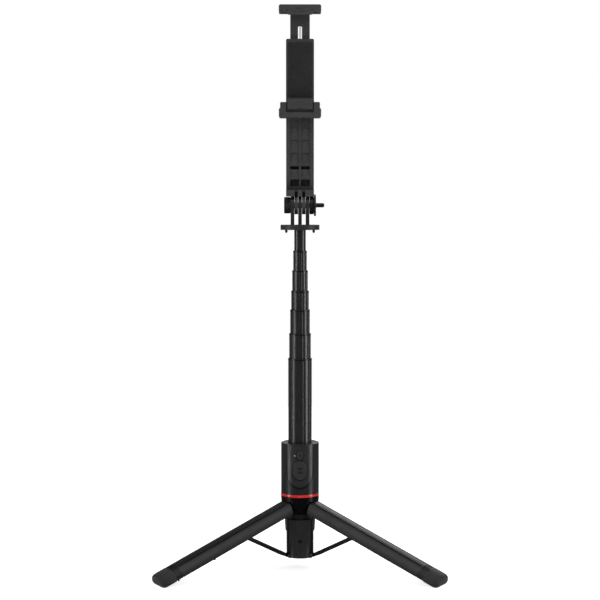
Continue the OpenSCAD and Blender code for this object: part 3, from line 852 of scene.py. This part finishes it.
def make_marks(r):
    """The shutter's ring and small triangle, and a power stroke: plain raised marks."""
    low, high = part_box("shutter_button")
    z = (low.z + high.z) / 2
    ring = (arc(0, z, 2.35 * MM, 90, 450, 48)[:-1], arc(0, z, 1.6 * MM, 90, 450, 48)[:-1])
    tip = (arc(0.1 * MM, z, 0.7 * MM, 0, 360, 3)[:-1], None)
    dished = 0.015 * MM
    mark = wrapped("shutter_mark", [ring, tip], r, dished + 0.035 * MM, 0.12 * MM)
    piece(mark, "shutter", "printed_mark")
    low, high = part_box("power_button")
    z = (low.z + high.z) / 2
    stroke = ([(-0.16 * MM, z - 0.1 * MM), (0.16 * MM, z - 0.1 * MM), (0.16 * MM, z + 1.1 * MM),
               (-0.16 * MM, z + 1.1 * MM)], None)
    bow = (arc(0, z, 1.05 * MM, 120, 420, 36), arc(0, z, 0.78 * MM, 120, 420, 36))
    mark = wrapped("power_mark", [stroke], r, 0.31 * MM, 0.12 * MM)
    piece(mark, "power", "printed_mark")
    mark = open_bow("power_bow", bow, r, 0.31 * MM, 0.12 * MM)
    piece(mark, "power", "printed_mark")


def open_bow(name, arcs, radius, lift, thick):
    outer, inner = arcs
    loop = list(outer) + list(reversed(inner))
    return wrapped(name, [(loop, None)], radius, lift, thick)


# ---------- the hub and the legs ----------
LEG_SLOPE = math.radians(22)


def hinge_frame(k, slope=LEG_SLOPE):
    """The frame of leg k's hinge: x along the leg, y across it, z outward."""
    j = joints[f"leg_{k}_fold"]
    across = Vector(j["axis"]).normalized()
    level = across.cross(Vector((0, 0, 1)))
    along = level * math.cos(slope) - Vector((0, 0, 1)) * math.sin(slope)
    out = along.cross(across)
    m = Matrix((along, across, out)).transposed().to_4x4()
    m.translation = Vector(j["pos_m"])
    return m


def hinge_r():
    p = joints["leg_1_fold"]["pos_m"]
    return math.hypot(p[0], p[1])


LEG_R = 16 * MM
LEG_WALL = 1.5 * MM
CHORD = 8 * MM
LEG_HALF = 13.5 * MM
END_TOP = -0.5 * MM
END_SIDE = 3.9 * MM
FOOT_LEN = 14 * MM
LEG_LEN = 131 * MM
GROOVE_BEARING = 20              # degrees each side of a leg's ridge
GROOVE_WIDTH, GROOVE_DEPTH = 1 * MM, 0.6 * MM
HOOP_PITCH, HOOP_WIDTH, HOOP_DEPTH = 1.9 * MM, 0.9 * MM, 0.8 * MM
STAY_TOP, STAY_UNDER = 1.3 * MM, 2.15 * MM
STAY_LEN = 48 * MM
STAY_RISE = math.radians(27.3)


def leg_outline(steps=56):
    """The leg's section in y and z at its hinge, with the outer part of the loop first."""
    drop = hinge_r()
    spread = math.degrees(math.asin(LEG_HALF / LEG_R))
    outer = [(y, z - drop) for y, z in arc(0, 0, LEG_R, 90 + spread, 90 - spread, steps)]
    floor = CHORD - drop
    inner_r = LEG_R - LEG_WALL
    lap = math.degrees(math.acos(CHORD / inner_r))
    inner = [(y, z - drop) for y, z in arc(0, 0, inner_r, 90 - lap, 90 + lap, steps)]
    inner[0], inner[-1] = (inner[0][0], floor), (inner[-1][0], floor)
    return outer, [(LEG_HALF, floor)] + inner + [(-LEG_HALF, floor)]


def make_leg(k):
    outer, rest = leg_outline()
    drop = hinge_r()
    lean = (END_SIDE - END_TOP) / (LEG_R - CHORD)
    shell_end = LEG_LEN - FOOT_LEN
    bm = bmesh.new()
    rows = []
    for u in (None, shell_end):
        row = []
        for y, z in outer + rest:
            x = END_TOP + (LEG_R - drop - z) * lean if u is None else u
            row.append(bm.verts.new((x, y, z)))
        rows.append(row)
    n = len(rows[0])
    for i in range(n):
        j = (i + 1) % n
        bm.faces.new((rows[0][i], rows[0][j], rows[1][j], rows[1][i]))
    bm.faces.new(rows[0])
    bm.faces.new(list(reversed(rows[1])))
    shell = solid(f"leg_{k}_shell", bm)
    parts = []
    inner_r = LEG_R - LEG_WALL
    # ears at the hinge, rails for the stay's shoe, a web at the foot and two pegs
    ear = arc(0, 0, 1.7 * MM, 180, 300, 16) + [(9 * MM, inner_r - drop - 1 * MM),
                                             (9 * MM, inner_r - drop + 0.2 * MM),
                                             (0.3 * MM, inner_r - drop + 0.2 * MM)]
    for s in (-1, 1):
        for name, mid, half, outline in (
                ("ear", 4.55 * MM, 1.85 * MM, ear),
                ("rail", 4.2 * MM, 0.6 * MM, [(30 * MM, -1.4 * MM), (76 * MM, -1.4 * MM),
                                              (76 * MM, 1.35 * MM), (30 * MM, 1.35 * MM)])):
            parts.append(side_slab(name, outline, s * mid - half, s * mid + half))
    for u in (0.62 * LEG_LEN, shell_end - 1.3 * MM):
        peg = lathe("peg", rounded([(0, -1.25 * MM), (0.75 * MM, -1.25 * MM),
                                    (0.75 * MM, 0.7 * MM), (0, 0.7 * MM)], 0.2 * MM), 24)
        placed(peg, Matrix.Translation((u, LEG_HALF - 1.5 * MM, CHORD - drop)))
        parts.append(peg)
    web = [(y, z) for y, z in outer] + [(LEG_HALF - 0.3 * MM, CHORD - drop + 0.3 * MM),
                                        (-LEG_HALF + 0.3 * MM, CHORD - drop + 0.3 * MM)]
    f = (LEG_R - 0.5 * MM) / LEG_R
    web = [(y * f, (z + drop) * f - drop) for y, z in web]
    parts.append(across("web", web, shell_end - 1.4 * MM, shell_end - 0.1 * MM))
    fuse(shell, *parts)
    cut(shell, *leg_grooves(drop, shell_end))
    tidy(shell, 0.1)
    soften(shell, 0.16 * MM, 2, 38)
    placed(shell, hinge_frame(k))
    piece(shell, f"leg_body_{k}", "leg_plastic", (f"leg_{k}",), 45)


def leg_grooves(drop, shell_end):
    """Two long grooves down the back of a leg, and three short ones round its end."""
    cutters = []
    for s in (-1, 1):
        mid = 90 + s * GROOVE_BEARING
        spread = math.degrees(GROOVE_WIDTH / 2 / LEG_R)
        band = [(y, z - drop)
                for y, z in arc(0, 0, LEG_R - GROOVE_DEPTH, mid - spread, mid + spread, 4)
                + arc(0, 0, LEG_R + 1 * MM, mid + spread, mid - spread, 4)]
        cutters.append(across("long_groove", band, 5 * MM, shell_end - 8 * MM))
    for i in (1, 2, 3):
        at = shell_end - HOOP_PITCH * i - 0.1 * MM
        hoop = [(y, z - drop) for y, z in arc(0, 0, LEG_R - HOOP_DEPTH, 30, 150, 56)
                + arc(0, 0, LEG_R + 1 * MM, 150, 30, 56)]
        cutters.append(across("hoop_groove", hoop, at, at + HOOP_WIDTH))
    return cutters


def make_stay(k):
    """A pressed bar with a channel down each side, an eye at its foot and a shoe at its head."""
    joint = joints[f"stay_{k}_swing"]
    leg = joints[f"leg_{k}_fold"]
    pivot = Vector(joint["pos_m"])
    side = Vector(leg["axis"]).normalized()
    out = side.cross(Vector((0, 0, 1)))
    length = STAY_LEN
    along = out * math.cos(STAY_RISE) + Vector((0, 0, 1)) * math.sin(STAY_RISE)
    turn = Matrix((along, side, along.cross(side))).transposed().to_4x4()
    turn.translation = pivot
    low = 1.3 * MM
    bar = side_slab("stay_bar", arc(0, 0, low, 90, 270, 20)
                    + [(8 * MM, -STAY_UNDER), (length - 6 * MM, -STAY_UNDER), (length, -low),
                       (length, STAY_TOP)],
                    -1.3 * MM, 1.3 * MM)
    shoe = side_slab("shoe", arc(length, 0, 1.4 * MM, 0, 360, 40)[:-1], -3 * MM, 3 * MM)
    fuse(bar, shoe)
    eye = side_slab("eye", arc(0, 0, 0.65 * MM, 0, 360, 32)[:-1], -9 * MM, 9 * MM)
    channel = rounded([(5 * MM, -0.75 * MM), (length - 5 * MM, -0.75 * MM),
                       (length - 5 * MM, 0.75 * MM), (5 * MM, 0.75 * MM)], 0.6 * MM)
    sides = [side_slab("channel", channel, s * 1.3 * MM - 0.35 * MM, s * 1.3 * MM + 0.35 * MM)
             for s in (-1, 1)]
    cut(bar, eye, *sides)
    tidy(bar, 0.1)
    soften(bar, 0.22 * MM, 2, 38)
    placed(bar, turn)
    bar.name = f"stay_bar_{k}"
    piece(bar, f"stay_body_{k}", "stay_metal", (f"stay_{k}",), 45)


def foot_outline(grow, steps=40):
    """A solid section, flat below, whose lower corners are drawn in."""
    drop = hinge_r()
    r = LEG_R + grow
    spread = math.degrees(math.asin(LEG_HALF / r))
    top = [(y, z - drop) for y, z in arc(0, 0, r, 90 + spread, 90 - spread, steps)]
    low = 6.2 * MM
    knee = LEG_HALF / math.tan(math.radians(60)) + 0.3 * MM
    heel = (low - 0.3 * MM) * math.tan(math.radians(60))
    corners = [(LEG_HALF, knee - drop), (heel, low - drop), (-heel, low - drop),
               (-LEG_HALF, knee - drop)]
    return rounded(top[:-1] + [(*top[-1], 1.2 * MM)] + [(y, z, 0.9 * MM) for y, z in corners],
                   0, 5)


def make_foot(k):
    """A solid boot whose end is rounded in plan and has a small round over its rim."""
    loop = foot_outline(0.12 * MM)
    mid = -1.2 * MM
    start = LEG_LEN - FOOT_LEN
    steps = 12
    end = FOOT_LEN - 1.6 * MM
    nose = 2.4 * MM
    corner = 5 * MM
    stations = [(0.02 * MM, 0.97, 0.97), (0.2 * MM, 0.99, 0.99), (0.5 * MM, 1.0, 1.0),
                (end - corner, 1.0, 1.0)]
    for i in range(1, steps + 1):
        a = math.pi / 2 * i / steps
        u = end - corner + corner * math.sin(a)
        narrow = 1 - corner * (1 - math.cos(a)) / LEG_HALF
        into = max(0.0, u - end + nose) / nose
        stations.append((u, narrow, 1 - 0.13 * (1 - math.sqrt(max(0.0, 1 - into ** 2)))))
    frame_k = hinge_frame(k)
    bm = bmesh.new()
    rows = []
    for u, narrow, scale in stations:
        row = []
        for y, z in loop:
            p = frame_k @ Vector((start + u, y * narrow, mid + (z - mid) * scale))
            p.z = max(p.z, 0.0)
            row.append(bm.verts.new(p))
        rows.append(row)
    n = len(loop)
    for a, b in zip(rows, rows[1:]):
        for i in range(n):
            j = (i + 1) % n
            bm.faces.new((a[i], a[j], b[j], b[i]))
    bm.faces.new(rows[0])
    bm.faces.new(list(reversed(rows[-1])))
    foot = solid(f"foot_{k}_boot", bm)
    piece(foot, f"leg_body_{k}", "foot_rubber", (f"foot_{k}",), 50)


# ---------- the head ----------
def make_disc_and_knobs():
    edged_copy("head_mount", 0.6 * MM, 4)
    low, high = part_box("prong_nut")
    mid = Vector((0, 0, (low.z + high.z) / 2))
    along_x = Matrix.Rotation(math.pi / 2, 4, "Y")

    def knurled(name, r, half_len, teeth, depth, crown):
        def ripple(a, rr, z):
            if rr < r * 0.9:
                return rr
            return rr - depth * (0.5 - 0.5 * math.cos(teeth * a)) ** 0.6 * \
                min(1, (half_len - abs(z)) / crown)
        profile = rounded([(2.45 * MM, -half_len), (r - 0.2 * MM, -half_len), (r, -half_len + crown),
                           (r, half_len - crown), (r - 0.2 * MM, half_len),
                           (2.45 * MM, half_len)], 0.25 * MM)
        return lathe(name, profile, 288, ripple)

    half = (high.x - low.x) / 2
    nut = knurled("knurled_nut", (high.z - low.z) / 2 - 0.02 * MM, half, 24, 0.55 * MM, 0.7 * MM)
    placed(nut, Matrix.Translation(mid + Vector(((low.x + high.x) / 2, 0, 0))) @ along_x)
    piece(nut, "section_7", "knob_plastic", ("prong_nut",), 50)

    low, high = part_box("tilt_knob")
    start = low.x
    flange = (high.z - low.z) / 2
    hub_w, flange_w = 3.4 * MM, 1.9 * MM
    stub = high.x - start

    def scallops(a, r, z):
        if r < 7.8 * MM:
            return r
        return r - 0.42 * MM * (0.5 - 0.5 * math.cos(12 * a)) ** 0.8

    profile = rounded([(2.42 * MM, 0), (7.5 * MM, 0, 0.4 * MM), (7.5 * MM, hub_w, 0.4 * MM),
                       (6.4 * MM, hub_w + 0.1 * MM), (6.4 * MM, hub_w + 0.3 * MM),
                       (flange, hub_w + 0.3 * MM, 0.4 * MM), (flange, hub_w + flange_w, 0.4 * MM),
                       (2.6 * MM, hub_w + flange_w, 0.5 * MM), (1.8 * MM, hub_w + flange_w + 0.5 * MM),
                       (1.8 * MM, stub - 0.8 * MM, 0.9 * MM), (0.9 * MM, stub - 0.02 * MM, 0.6 * MM),
                       (0, stub), (0, 3.9 * MM), (2.42 * MM, 3.9 * MM)], 0.12 * MM, 6)
    knob = lathe("thumb_knob", profile, 288, scallops)
    placed(knob, Matrix.Translation(mid + Vector((start, 0, 0))) @ along_x)
    piece(knob, "knob", "knob_plastic", ("tilt_knob",), 50)


# ---------- the phone holder ----------
ARM_FACE = -0.7 * MM
SLIDE_BACK = -1.2 * MM
SLIDE_FACE = -7.6 * MM
LIP_T = 2 * MM
CELL_PITCH = 10.8 * MM
CELL_IN, CELL_OUT = 0.85 * MM, 8.15 * MM
DEEP_SLOTS = {3: (2.6 * MM, 5.6 * MM), 4: (5.6 * MM, 5.6 * MM)}    # row: height, depth
TONGUE_W = 20.2 * MM
SHELF_RISE = 12.4 * MM           # the lower jaw's shelf, above its lowest point
UPPER_JAW_H = 5.9 * MM
PAD_SEAT = 0.8 * MM


def make_holder_arm():
    low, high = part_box("holder_arm")
    tilt = joints["arm_tilt"]["pos_m"][2]
    swivel = joints["clamp_turn"]["pos_m"][2]
    foot = 311.5 * MM
    lip_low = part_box("prong_nut")[1].z + 0.35 * MM
    half = high.x
    fin_half = 1.45 * MM
    knuckle = tilt - low.z
    arm = upright("holder_arm_blank", rounded_box(2 * half, lip_low, high.z, 2.4 * MM),
                  6.3 * MM, ARM_FACE)
    lip = box_of("lip", (-half, half), (low.y, 1 * MM), (lip_low, foot + 3 * MM))
    fins = []
    for s in (-1, 1):
        mid = s * 3.1 * MM
        fins.append(rod("fin", knuckle, mid - fin_half, mid + fin_half, 0, tilt, 96))
        fins.append(box_of("fin_neck", (mid - fin_half, mid + fin_half),
                           (1.5 * MM - knuckle, knuckle - 0.5 * MM), (tilt, foot + 1 * MM)))
    fuse(arm, lip, *fins)
    cutters = [rod("bolt_way", 2.45 * MM, -half, half, 0, tilt, 64),
               upright("rivet_way", arc(0, swivel, 3.05 * MM, 0, 360, 64)[:-1], 9 * MM, -2 * MM)]
    for s in (-1, 1):
        cutters.append(box_of("lip_gap", (s * 3.1 * MM - 1.25 * MM, s * 3.1 * MM + 1.25 * MM),
                              (low.y - 1 * MM, -1.7 * MM), (lip_low - 1 * MM, foot + 4 * MM)))
        sides = sorted((s * CELL_IN, s * CELL_OUT))
        for i in range(-4, 6):
            top = foot + 55 * MM - CELL_PITCH * i
            floor = top - CELL_PITCH + 0.5 * MM
            ramp = [(ARM_FACE - 1 * MM, top), (ARM_FACE + 1.1 * MM, top),
                    (ARM_FACE + 0.22 * MM, floor), (ARM_FACE - 1 * MM, floor)]
            cutters.append(across("cell", ramp, *sides))
            if i in DEEP_SLOTS:
                tall, deep = DEEP_SLOTS[i]
                cutters.append(box_of("slot", sides, (ARM_FACE - 1 * MM, ARM_FACE + deep),
                                      (top - tall, top)))
    # the face falls away behind the lip
    cutters.append(across("scoop", [(ARM_FACE - 1 * MM, foot + 15 * MM), (ARM_FACE, foot + 15 * MM),
                                    (ARM_FACE + 0.5 * MM, foot + 11 * MM),
                                    (ARM_FACE + 2.2 * MM, foot + 3.1 * MM),
                                    (ARM_FACE - 1 * MM, foot + 3.1 * MM)],
                          -half - 1 * MM, half + 1 * MM))
    cut(arm, *cutters)
    tidy(arm)
    soften(arm, 0.3 * MM)
    arm.name = "arm"
    piece(arm, "arm", "holder_plastic", ("holder_arm",))


def jaw_block(name, outline, back, front, edge):
    """A jaw whose front and side edges are well rounded before anything is cut from it."""
    jaw = upright(name, outline, back, front)
    soften(jaw, edge, 6, 50)
    return baked(jaw)


def make_clamp_body():
    low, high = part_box("clamp_body")
    shelf = low.z + SHELF_RISE
    half = high.x
    front = low.y
    arm_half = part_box("holder_arm")[1].x
    step = 1 * MM
    outline = rounded([(-half, low.z, 1.7 * MM), (half, low.z, 1.7 * MM),
                       (half, shelf - 5.4 * MM, 0.9 * MM), (half - step, shelf - 5 * MM, 0.5 * MM),
                       (half - step, shelf, 1.2 * MM), (-half + step, shelf, 1.2 * MM),
                       (-half + step, shelf - 5 * MM, 0.5 * MM), (-half, shelf - 5.4 * MM, 0.9 * MM)],
                      1 * MM, 6)
    jaw = jaw_block("clamp_blank", outline, SLIDE_BACK, front, 1.1 * MM)
    slide = upright("slide", rounded_box(2 * arm_half, low.z + 0.6 * MM, high.z, 1.5 * MM),
                    SLIDE_BACK, SLIDE_FACE)
    tongue = upright("tongue", rounded_box(TONGUE_W, shelf - 6 * MM, shelf + 2.4 * MM, 0.9 * MM),
                     front + 3 * MM, front + 0.12 * MM)
    soften(tongue, 0.35 * MM, 3, 50)
    baked(tongue)
    track = box_of("track", (-8.2 * MM, 8.2 * MM), (-5 * MM, -2.4 * MM),
                   (low.z + 6 * MM, high.z + 5 * MM))
    recess = upright("recess", rounded([(-11.4 * MM, shelf - 8.4 * MM, 1.3 * MM),
                                        (11.4 * MM, shelf - 8.4 * MM, 1.3 * MM),
                                        (11.4 * MM, shelf + 1 * MM), (-11.4 * MM, shelf + 1 * MM)],
                                       0.05 * MM, 6), front + 2.2 * MM, front - 1 * MM)
    arch = upright("arch", arc(0, shelf - 15.5 * MM, 10.4 * MM, 20, 160, 40)
                   + [(-10.5 * MM, shelf - 15 * MM), (10.5 * MM, shelf - 15 * MM)],
                   front + 1.1 * MM, front - 1 * MM)
    seat = slab("pad_seat", pad_outline(0.05 * MM), shelf - PAD_SEAT, shelf + 0.1 * MM)
    fuse(jaw, slide)
    cut(jaw, track, recess, seat)
    cut(tongue, arch)
    fuse(jaw, tongue)
    tidy(jaw, 0.2)
    soften(jaw, 0.25 * MM, 3, 40)
    jaw.name = "clamp"
    piece(jaw, "clamp", "holder_plastic", ("clamp_body",), 45)


def pad_outline(grow):
    half = 15.2 * MM + grow
    low, high = -16.8 * MM - grow, SLIDE_FACE - 1 * MM + grow
    return rounded([(-half, low), (half, low), (half, high), (-half, high)], 1 * MM, 6)


def make_upper_jaw():
    low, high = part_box("upper_jaw")
    face = high.z - UPPER_JAW_H
    half, front = high.x, low.y
    jaw = jaw_block("upper_blank", rounded([(-half, face, 0.9 * MM), (half, face, 0.9 * MM),
                                            (half, high.z, 1.7 * MM), (-half, high.z, 1.7 * MM)],
                                           1 * MM, 6), SLIDE_BACK, front, 1.1 * MM)
    lip = upright("upper_lip", rounded_box(TONGUE_W, face - 2.4 * MM, face + 1.9 * MM, 0.9 * MM),
                  front + LIP_T, front + 0.05 * MM)
    soften(lip, 0.35 * MM, 3, 50)
    baked(lip)
    stem = box_of("stem", (-8 * MM, 8 * MM), (-4.8 * MM, -2.6 * MM), (low.z, face + 2 * MM))
    fuse(jaw, lip, stem)
    slot = upright("slot", rounded_box(3.2 * MM, low.z - 5 * MM, face - 10 * MM, 1.2 * MM),
                   0, -8 * MM)
    seat = slab("upper_seat", pad_outline(0.05 * MM), face - 0.1 * MM, face + PAD_SEAT)
    marks = [upright("dash", rounded_box(w, z - 0.25 * MM, z + 0.25 * MM, 0.2 * MM),
                     front + 0.35 * MM, front - 1 * MM)
             for w, z in ((6.5 * MM, face + 2.5 * MM), (10.5 * MM, face + 0.4 * MM))]
    shoulders = [upright("shoulder", rounded_box(0.5 * MM, face - 0.3 * MM, face + 2.2 * MM,
                                                 0.2 * MM, s * 10.5 * MM),
                         front + 0.6 * MM, front - 1 * MM) for s in (-1, 1)]
    cut(jaw, slot, seat, *marks, *shoulders)
    tidy(jaw, 0.2)
    soften(jaw, 0.2 * MM, 3, 40)
    jaw.name = "top_jaw_cap"
    piece(jaw, "top_jaw", "holder_plastic", ("upper_jaw",), 45)


def ribbed_tree():
    """Geometry Nodes: a row of round ribs, one at each step from the start."""
    tree, given = new_tree("pad_ribs", Float=("Length", "Rib Radius"), Int=("Count",),
                           Vector=("Start", "Step", "Turn"))
    new, link = tree.nodes.new, tree.links.new
    row = new("GeometryNodeMeshLine")
    link(given["Count"], row.inputs["Count"])
    link(given["Start"], row.inputs["Start Location"])
    link(given["Step"], row.inputs["Offset"])
    rib = new("GeometryNodeMeshCylinder")
    rib.inputs["Vertices"].default_value = 20
    link(given["Rib Radius"], rib.inputs["Radius"])
    link(given["Length"], rib.inputs["Depth"])
    set_out = new("GeometryNodeInstanceOnPoints")
    link(row.outputs[0], set_out.inputs["Points"])
    link(rib.outputs["Mesh"], set_out.inputs["Instance"])
    link(given["Turn"], set_out.inputs["Rotation"])
    return end_tree(tree, set_out.outputs[0], given["Finish"])


def make_pads():
    """Rubber strips with fine ribs, let into the jaws and set on the back rest."""
    tree = ribbed_tree()
    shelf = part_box("clamp_body")[0].z + SHELF_RISE
    rib_r = 0.32 * MM
    rest_half = 9.9 * MM
    rest_low, rest_high = shelf + 5 * MM, shelf + 49 * MM
    rest_face = SLIDE_FACE - 0.8 * MM
    strip = slab("jaw_strip", pad_outline(0), shelf - PAD_SEAT, shelf - 0.06 * MM)
    rest = upright("rest_strip", rounded_box(2 * rest_half, rest_low, rest_high, 1.5 * MM),
                   SLIDE_FACE, rest_face + 0.14 * MM)
    soften(rest, 0.2 * MM)
    baked(rest)
    lie = (0, HALF_TURN / 2, 0)
    floor = {"Length": 28.8 * MM, "Rib Radius": rib_r, "Count": 9, "Turn": lie,
             "Start": (0, -15.8 * MM, shelf - 0.22 * MM), "Step": (0, 0.87 * MM, 0),
             "Finish": finishes["pad_rubber"]}
    wall = {"Length": 2 * rest_half - 2.4 * MM, "Rib Radius": rib_r, "Count": 27, "Turn": lie,
            "Start": (0, rest_face + 0.26 * MM, rest_low + 2.2 * MM), "Step": (0, 0, 1.52 * MM),
            "Finish": finishes["pad_rubber"]}
    joined = join("clamp_rubber", [strip, rest, run_tree("floor_ribs", tree, floor),
                                   run_tree("rest_ribs", tree, wall)])
    piece(joined, "clamp", "pad_rubber", ("clamp_pads",))
    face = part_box("upper_jaw")[1].z - UPPER_JAW_H
    strip = slab("upper_strip", pad_outline(0), face + 0.06 * MM, face + PAD_SEAT)
    ceiling = dict(floor, Start=(0, -15.8 * MM, face + 0.22 * MM))
    joined = join("upper_rubber", [strip, run_tree("upper_ribs", tree, ceiling)])
    piece(joined, "top_jaw", "pad_rubber", ("upper_pad",))


def coil_tree():
    """Geometry Nodes: a round wire wound along Z."""
    tree, given = new_tree("coil_spring", Float=("Turns", "Height", "Coil Radius", "Wire Radius"),
                           Vector=("Foot",))
    new, link = tree.nodes.new, tree.links.new
    coil = new("GeometryNodeCurveSpiral")
    coil.inputs["Resolution"].default_value = 18
    link(given["Turns"], coil.inputs["Rotations"])
    link(given["Coil Radius"], coil.inputs["Start Radius"])
    link(given["Coil Radius"], coil.inputs["End Radius"])
    link(given["Height"], coil.inputs["Height"])
    wire = new("GeometryNodeCurvePrimitiveCircle")
    wire.inputs["Resolution"].default_value = 8
    link(given["Wire Radius"], wire.inputs["Radius"])
    sweep = new("GeometryNodeCurveToMesh")
    link(coil.outputs[0], sweep.inputs["Curve"])
    link(wire.outputs["Curve"], sweep.inputs["Profile Curve"])
    sweep.inputs["Fill Caps"].default_value = True
    stand = new("GeometryNodeTransform")
    link(sweep.outputs[0], stand.inputs["Geometry"])
    link(given["Foot"], stand.inputs["Translation"])
    return end_tree(tree, stand.outputs[0], given["Finish"])


def make_spring():
    low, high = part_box("clamp_spring")
    wire = 0.16 * MM
    r = (high.x - low.x) / 2 - wire
    coil = run_tree("pull_spring", coil_tree(), {
        "Turns": 58.0, "Height": high.z - low.z - 2 * wire, "Coil Radius": r,
        "Wire Radius": wire, "Foot": (0, (low.y + high.y) / 2, low.z + wire),
        "Finish": finishes["steel"]})
    piece(coil, body_of("clamp_spring"), "steel", ("clamp_spring",), 60)


def join(name, objects):
    """One object of several meshes."""
    bm = bmesh.new()
    for obj in objects:
        bm.from_mesh(obj.data)
        bpy.data.objects.remove(obj)
    return solid(name, bm)


# ---------- assembly ----------
EDGES = {                        # CAD nodes kept with their edges rounded, in mm
    "leg_hub": 0.25, "column_sleeve": 0.25, "base_cap": 0.3,
    "swivel_rivet": 0.4, "sleeve_screw": 0.08, "tilt_bolt": 0.2,
}

finishes.update(make_finishes())
make_camera()
make_floor()
make_studio()
for name, obj in nodes.items():
    obj.data.materials.clear()
    obj.data.materials.append(finishes[node_slot[name]])
make_pole()
make_grip()
make_remote()
for k in (1, 2, 3):
    make_leg(k)
    make_foot(k)
    make_stay(k)
make_disc_and_knobs()
make_holder_arm()
make_clamp_body()
make_upper_jaw()
make_pads()
make_spring()
for node, width in EDGES.items():
    edged_copy(node, width * MM)
